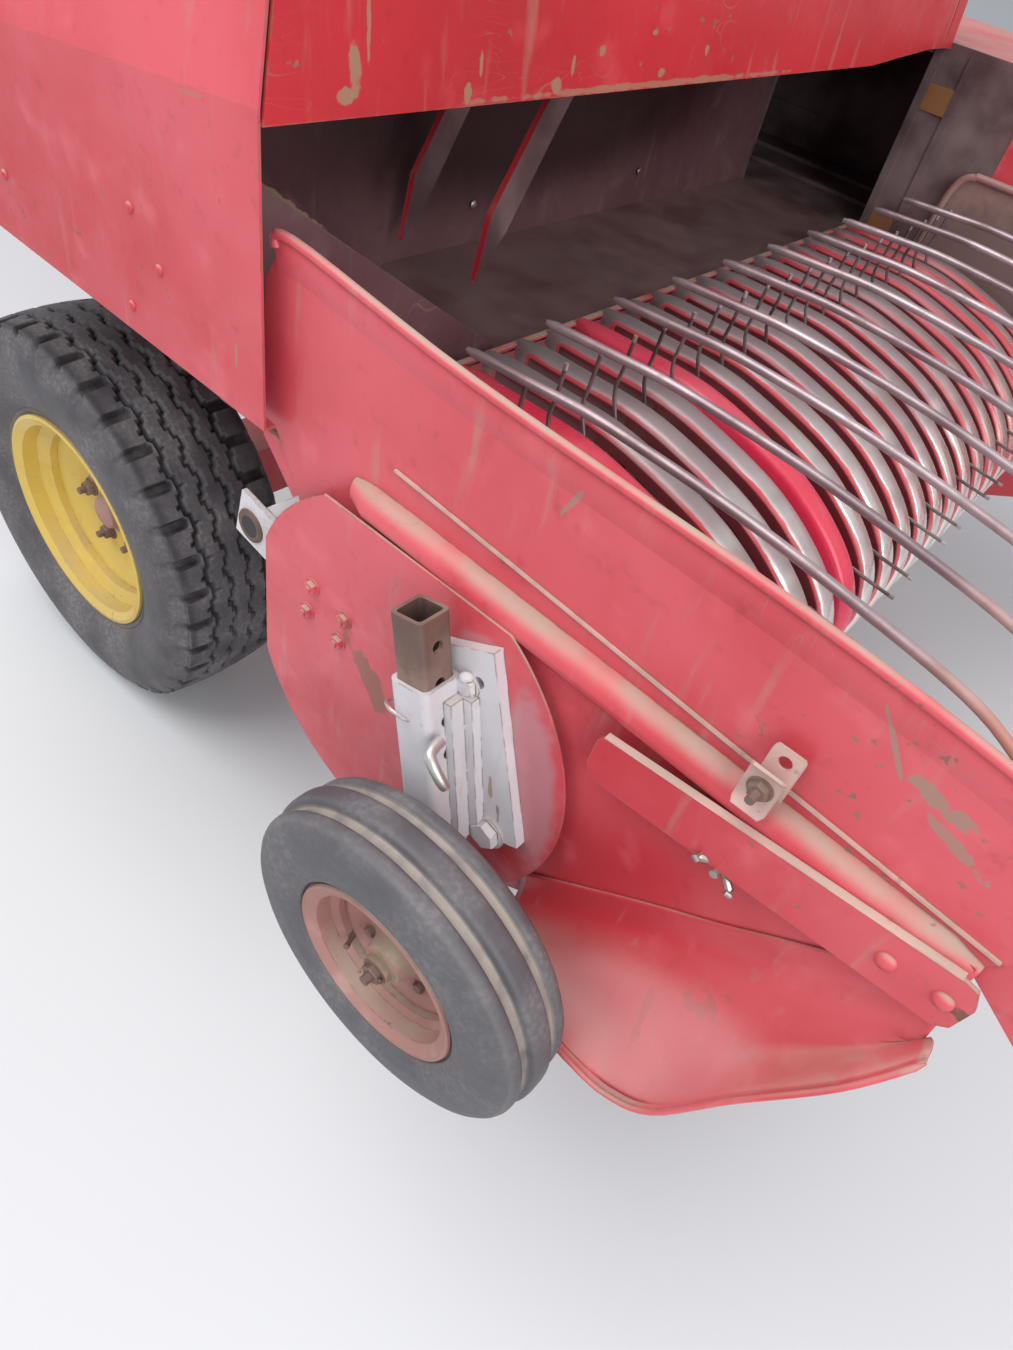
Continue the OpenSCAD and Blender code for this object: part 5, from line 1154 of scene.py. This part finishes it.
class MakeFasteners(bpy.types.Operator):
    """Bolts, rivets, the clamp, the locking pin with its ring and the weld beads"""

    bl_idname = "baler.fasteners"
    bl_label = "Fasteners"

    def execute(self, context):
        names = ("pickup_red", "zinc", "grey_paint", "rust", "worn_steel", "dusty_edge")
        finishes = [FINISHES[name] for name in names]
        out = (0, -1, 0)
        shape = Shape()
        for x, z in ((477, 1148), (523, 1100), (459, 1033), (-120, 1120), (-120, 1040), (200, 1085)):
            shape.bolt(at(x, DISC_FACE, z), out, 0.013, 0.004, RED, domed=True)
        for x, z in ((478, 1294), (568, 1299), (120, 1260), (-160, 1240)):
            shape.bolt(at(x, -49.5, z), (0, -1, 0.2), 0.02, 0.006, RED, domed=True)
        for y in (631, 1129):
            shape.bolt(at(362.5, y, 1020), (1, 0, 0), 0.014, 0.003, WORN, domed=True)
        shape.piece("frame_fasteners", "frame", "red", finishes)
        shape = Shape()
        for x, z in ((788, 832), (780, 788), (846, 822), (838, 780)):
            shape.bolt(at(x, DISC_FACE, z), out, 0.017, 0.007, RED, shank=0.003)
        for x, z in ((1500, 943), (1548, 948)):
            shape.bolt(at(x, STRAP_FACE, z), out, 0.019, 0.006, RED, domed=True)
        shape.bolt(at(1048, GREY_FACE, 893), out, 0.022, 0.009, GREY)
        shape.bolt(at(1120, GREY_FACE, 703), out, 0.032, 0.014, GREY)
        self.weld(shape)
        self.clamp(shape)
        self.wing_bolt(shape)
        self.locking_pin(shape)
        shape.piece("pickup_fasteners", "pickup", "red", finishes)
        return {"FINISHED"}

    def weld(self, shape):
        """Uneven beads between the grey sleeve and its plate."""
        beads = 12
        for k in range(beads):
            t = k / (beads - 1)
            spot = at(1046 + 56 * t + 3 * math.sin(k * 2.3), -82 + 2 * math.sin(k * 1.7), 905 - 215 * t)
            shape.bolt(spot, (0.6, -0.8, 0), 0.016 + 0.003 * math.sin(k * 4.1), 0.006, GREY, domed=True)

    def clamp(self, shape):
        """The folded clip on the ridge: a curled plate, a stud and a holed tab."""
        line = [(-70, 984), (-66, 989), (-63.5, 997), (-62.5, 1012), (-63, 1028), (-66, 1036), (-71, 1040)]
        rows = []
        for k, (y, z) in enumerate(line):
            before, after = line[max(k - 1, 0)], line[min(k + 1, len(line) - 1)]
            way = Vector((0, after[0] - before[0], after[1] - before[1])).normalized()
            out = Vector((0, -way.z, way.y)) * 0.003
            narrow = 3 if k in (0, len(line) - 1) else 0
            left, right = at(1327 + narrow, y, z), at(1360 - narrow, y, z)
            rows.append([left, right, right + out, left + out])
        shape.grid(rows, DUSTY, around=True, ends=True)
        self.holed_tab(shape)
        shape.bolt(at(1344, -65.5, 1013), (0, -1, 0), 0.017, 0.008, RUSTY, shank=0.011)

    def holed_tab(self, shape):
        """A leaning tab with a round hole and a rounded top."""
        outline, hole = [], []
        for k in range(32):
            a = 2 * math.pi * k / 32
            x, z = math.cos(a), math.sin(a)
            tall, limit = (12.5, 17.5) if z > 0 else (38, 60)
            reach = min(15 / max(abs(x), 0.01), tall / max(abs(z), 0.01), limit)
            outline.append((reach * x, reach * z))
            hole.append((6.5 * x, 6.5 * z))
        rows = [[at(1348 + x, -54 + 0.12 * z + y, 1041 + z) for x, z in ring]
                for ring, y in ((outline, 0), (hole, 0), (hole, 3), (outline, 3))]
        shape.grid(rows, DUSTY, around=True, along=True)

    def wing_bolt(self, shape):
        spot = at(1352, -48, 896)
        shape.bolt(spot, (0, -1, 0), 0.02, 0.004, ZINC, domed=True)
        shape.tube([spot, spot + Vector((0, -0.026, 0))], 0.0045, 10, ZINC)
        wing = [(0.002, 0.014), (0.01, 0.017), (0.019, 0.024), (0.021, 0.028), (0.017, 0.029)]
        for side in (-1, 1):
            path = [spot + Vector((side * a, -b, -side * a * 0.3)) for a, b in wing]
            shape.tube(path, [0.004, 0.0035, 0.0045, 0.004, 0.003], 8, ZINC)

    def locking_pin(self, shape):
        """The bent pin through the sleeve, and the ring that keeps it."""
        pin = [(1062, -125, 852), (1064, -138, 851), (1068, -146, 849), (1078, -149, 842), (1089, -148, 830),
               (1093, -145, 823)]
        shape.tube(curve_through([at(*p) for p in pin], 4), 0.0065, 12, ZINC)
        ring = []
        for k in range(25):
            a = 2 * math.pi * k / 24
            ring.append(at(1004 + 19 * math.cos(a), -124 + 15 * math.sin(a), 846 - 10 * math.sin(a)))
        shape.tube(ring, 0.0021, 8, WORN)
        shape.tube([at(1020, -122, 846), at(1034, -118, 846)], 0.006, 12, WORN)


class BalerPanel(bpy.types.Panel):
    """Lists the pieces of the baler"""

    bl_idname = "VIEW3D_PT_baler"
    bl_label = "Square Baler"
    bl_space_type = "VIEW_3D"
    bl_region_type = "UI"
    bl_category = "Baler"

    def draw(self, context):
        for maker in MAKERS:
            self.layout.operator(maker.bl_idname)
        for group in ("baler_stage", "baler_paint", "baler_pickup"):
            looks = getattr(context.scene, group)
            for name in looks.__annotations__:
                self.layout.prop(looks, name)


MAKERS = [
    MakeStage, MakeFinishes, MakeTyres, MakeRims, MakeBands, MakeTines, MakeRods, MakeSheets, MakeFasteners]
CLASSES = [StageLooks, PaintLooks, PickupSizes, *MAKERS, BalerPanel]


def register():
    for kind in CLASSES:
        bpy.utils.register_class(kind)
    bpy.types.Scene.baler_stage = PointerProperty(type=StageLooks)
    bpy.types.Scene.baler_paint = PointerProperty(type=PaintLooks)
    bpy.types.Scene.baler_pickup = PointerProperty(type=PickupSizes)


def unregister():
    del bpy.types.Scene.baler_pickup
    del bpy.types.Scene.baler_paint
    del bpy.types.Scene.baler_stage
    for kind in reversed(CLASSES):
        bpy.utils.unregister_class(kind)


def main():
    register()
    for maker in MAKERS:
        group, name = maker.bl_idname.split(".")
        getattr(getattr(bpy.ops, group), name)()


if __name__ == "__main__":
    main()
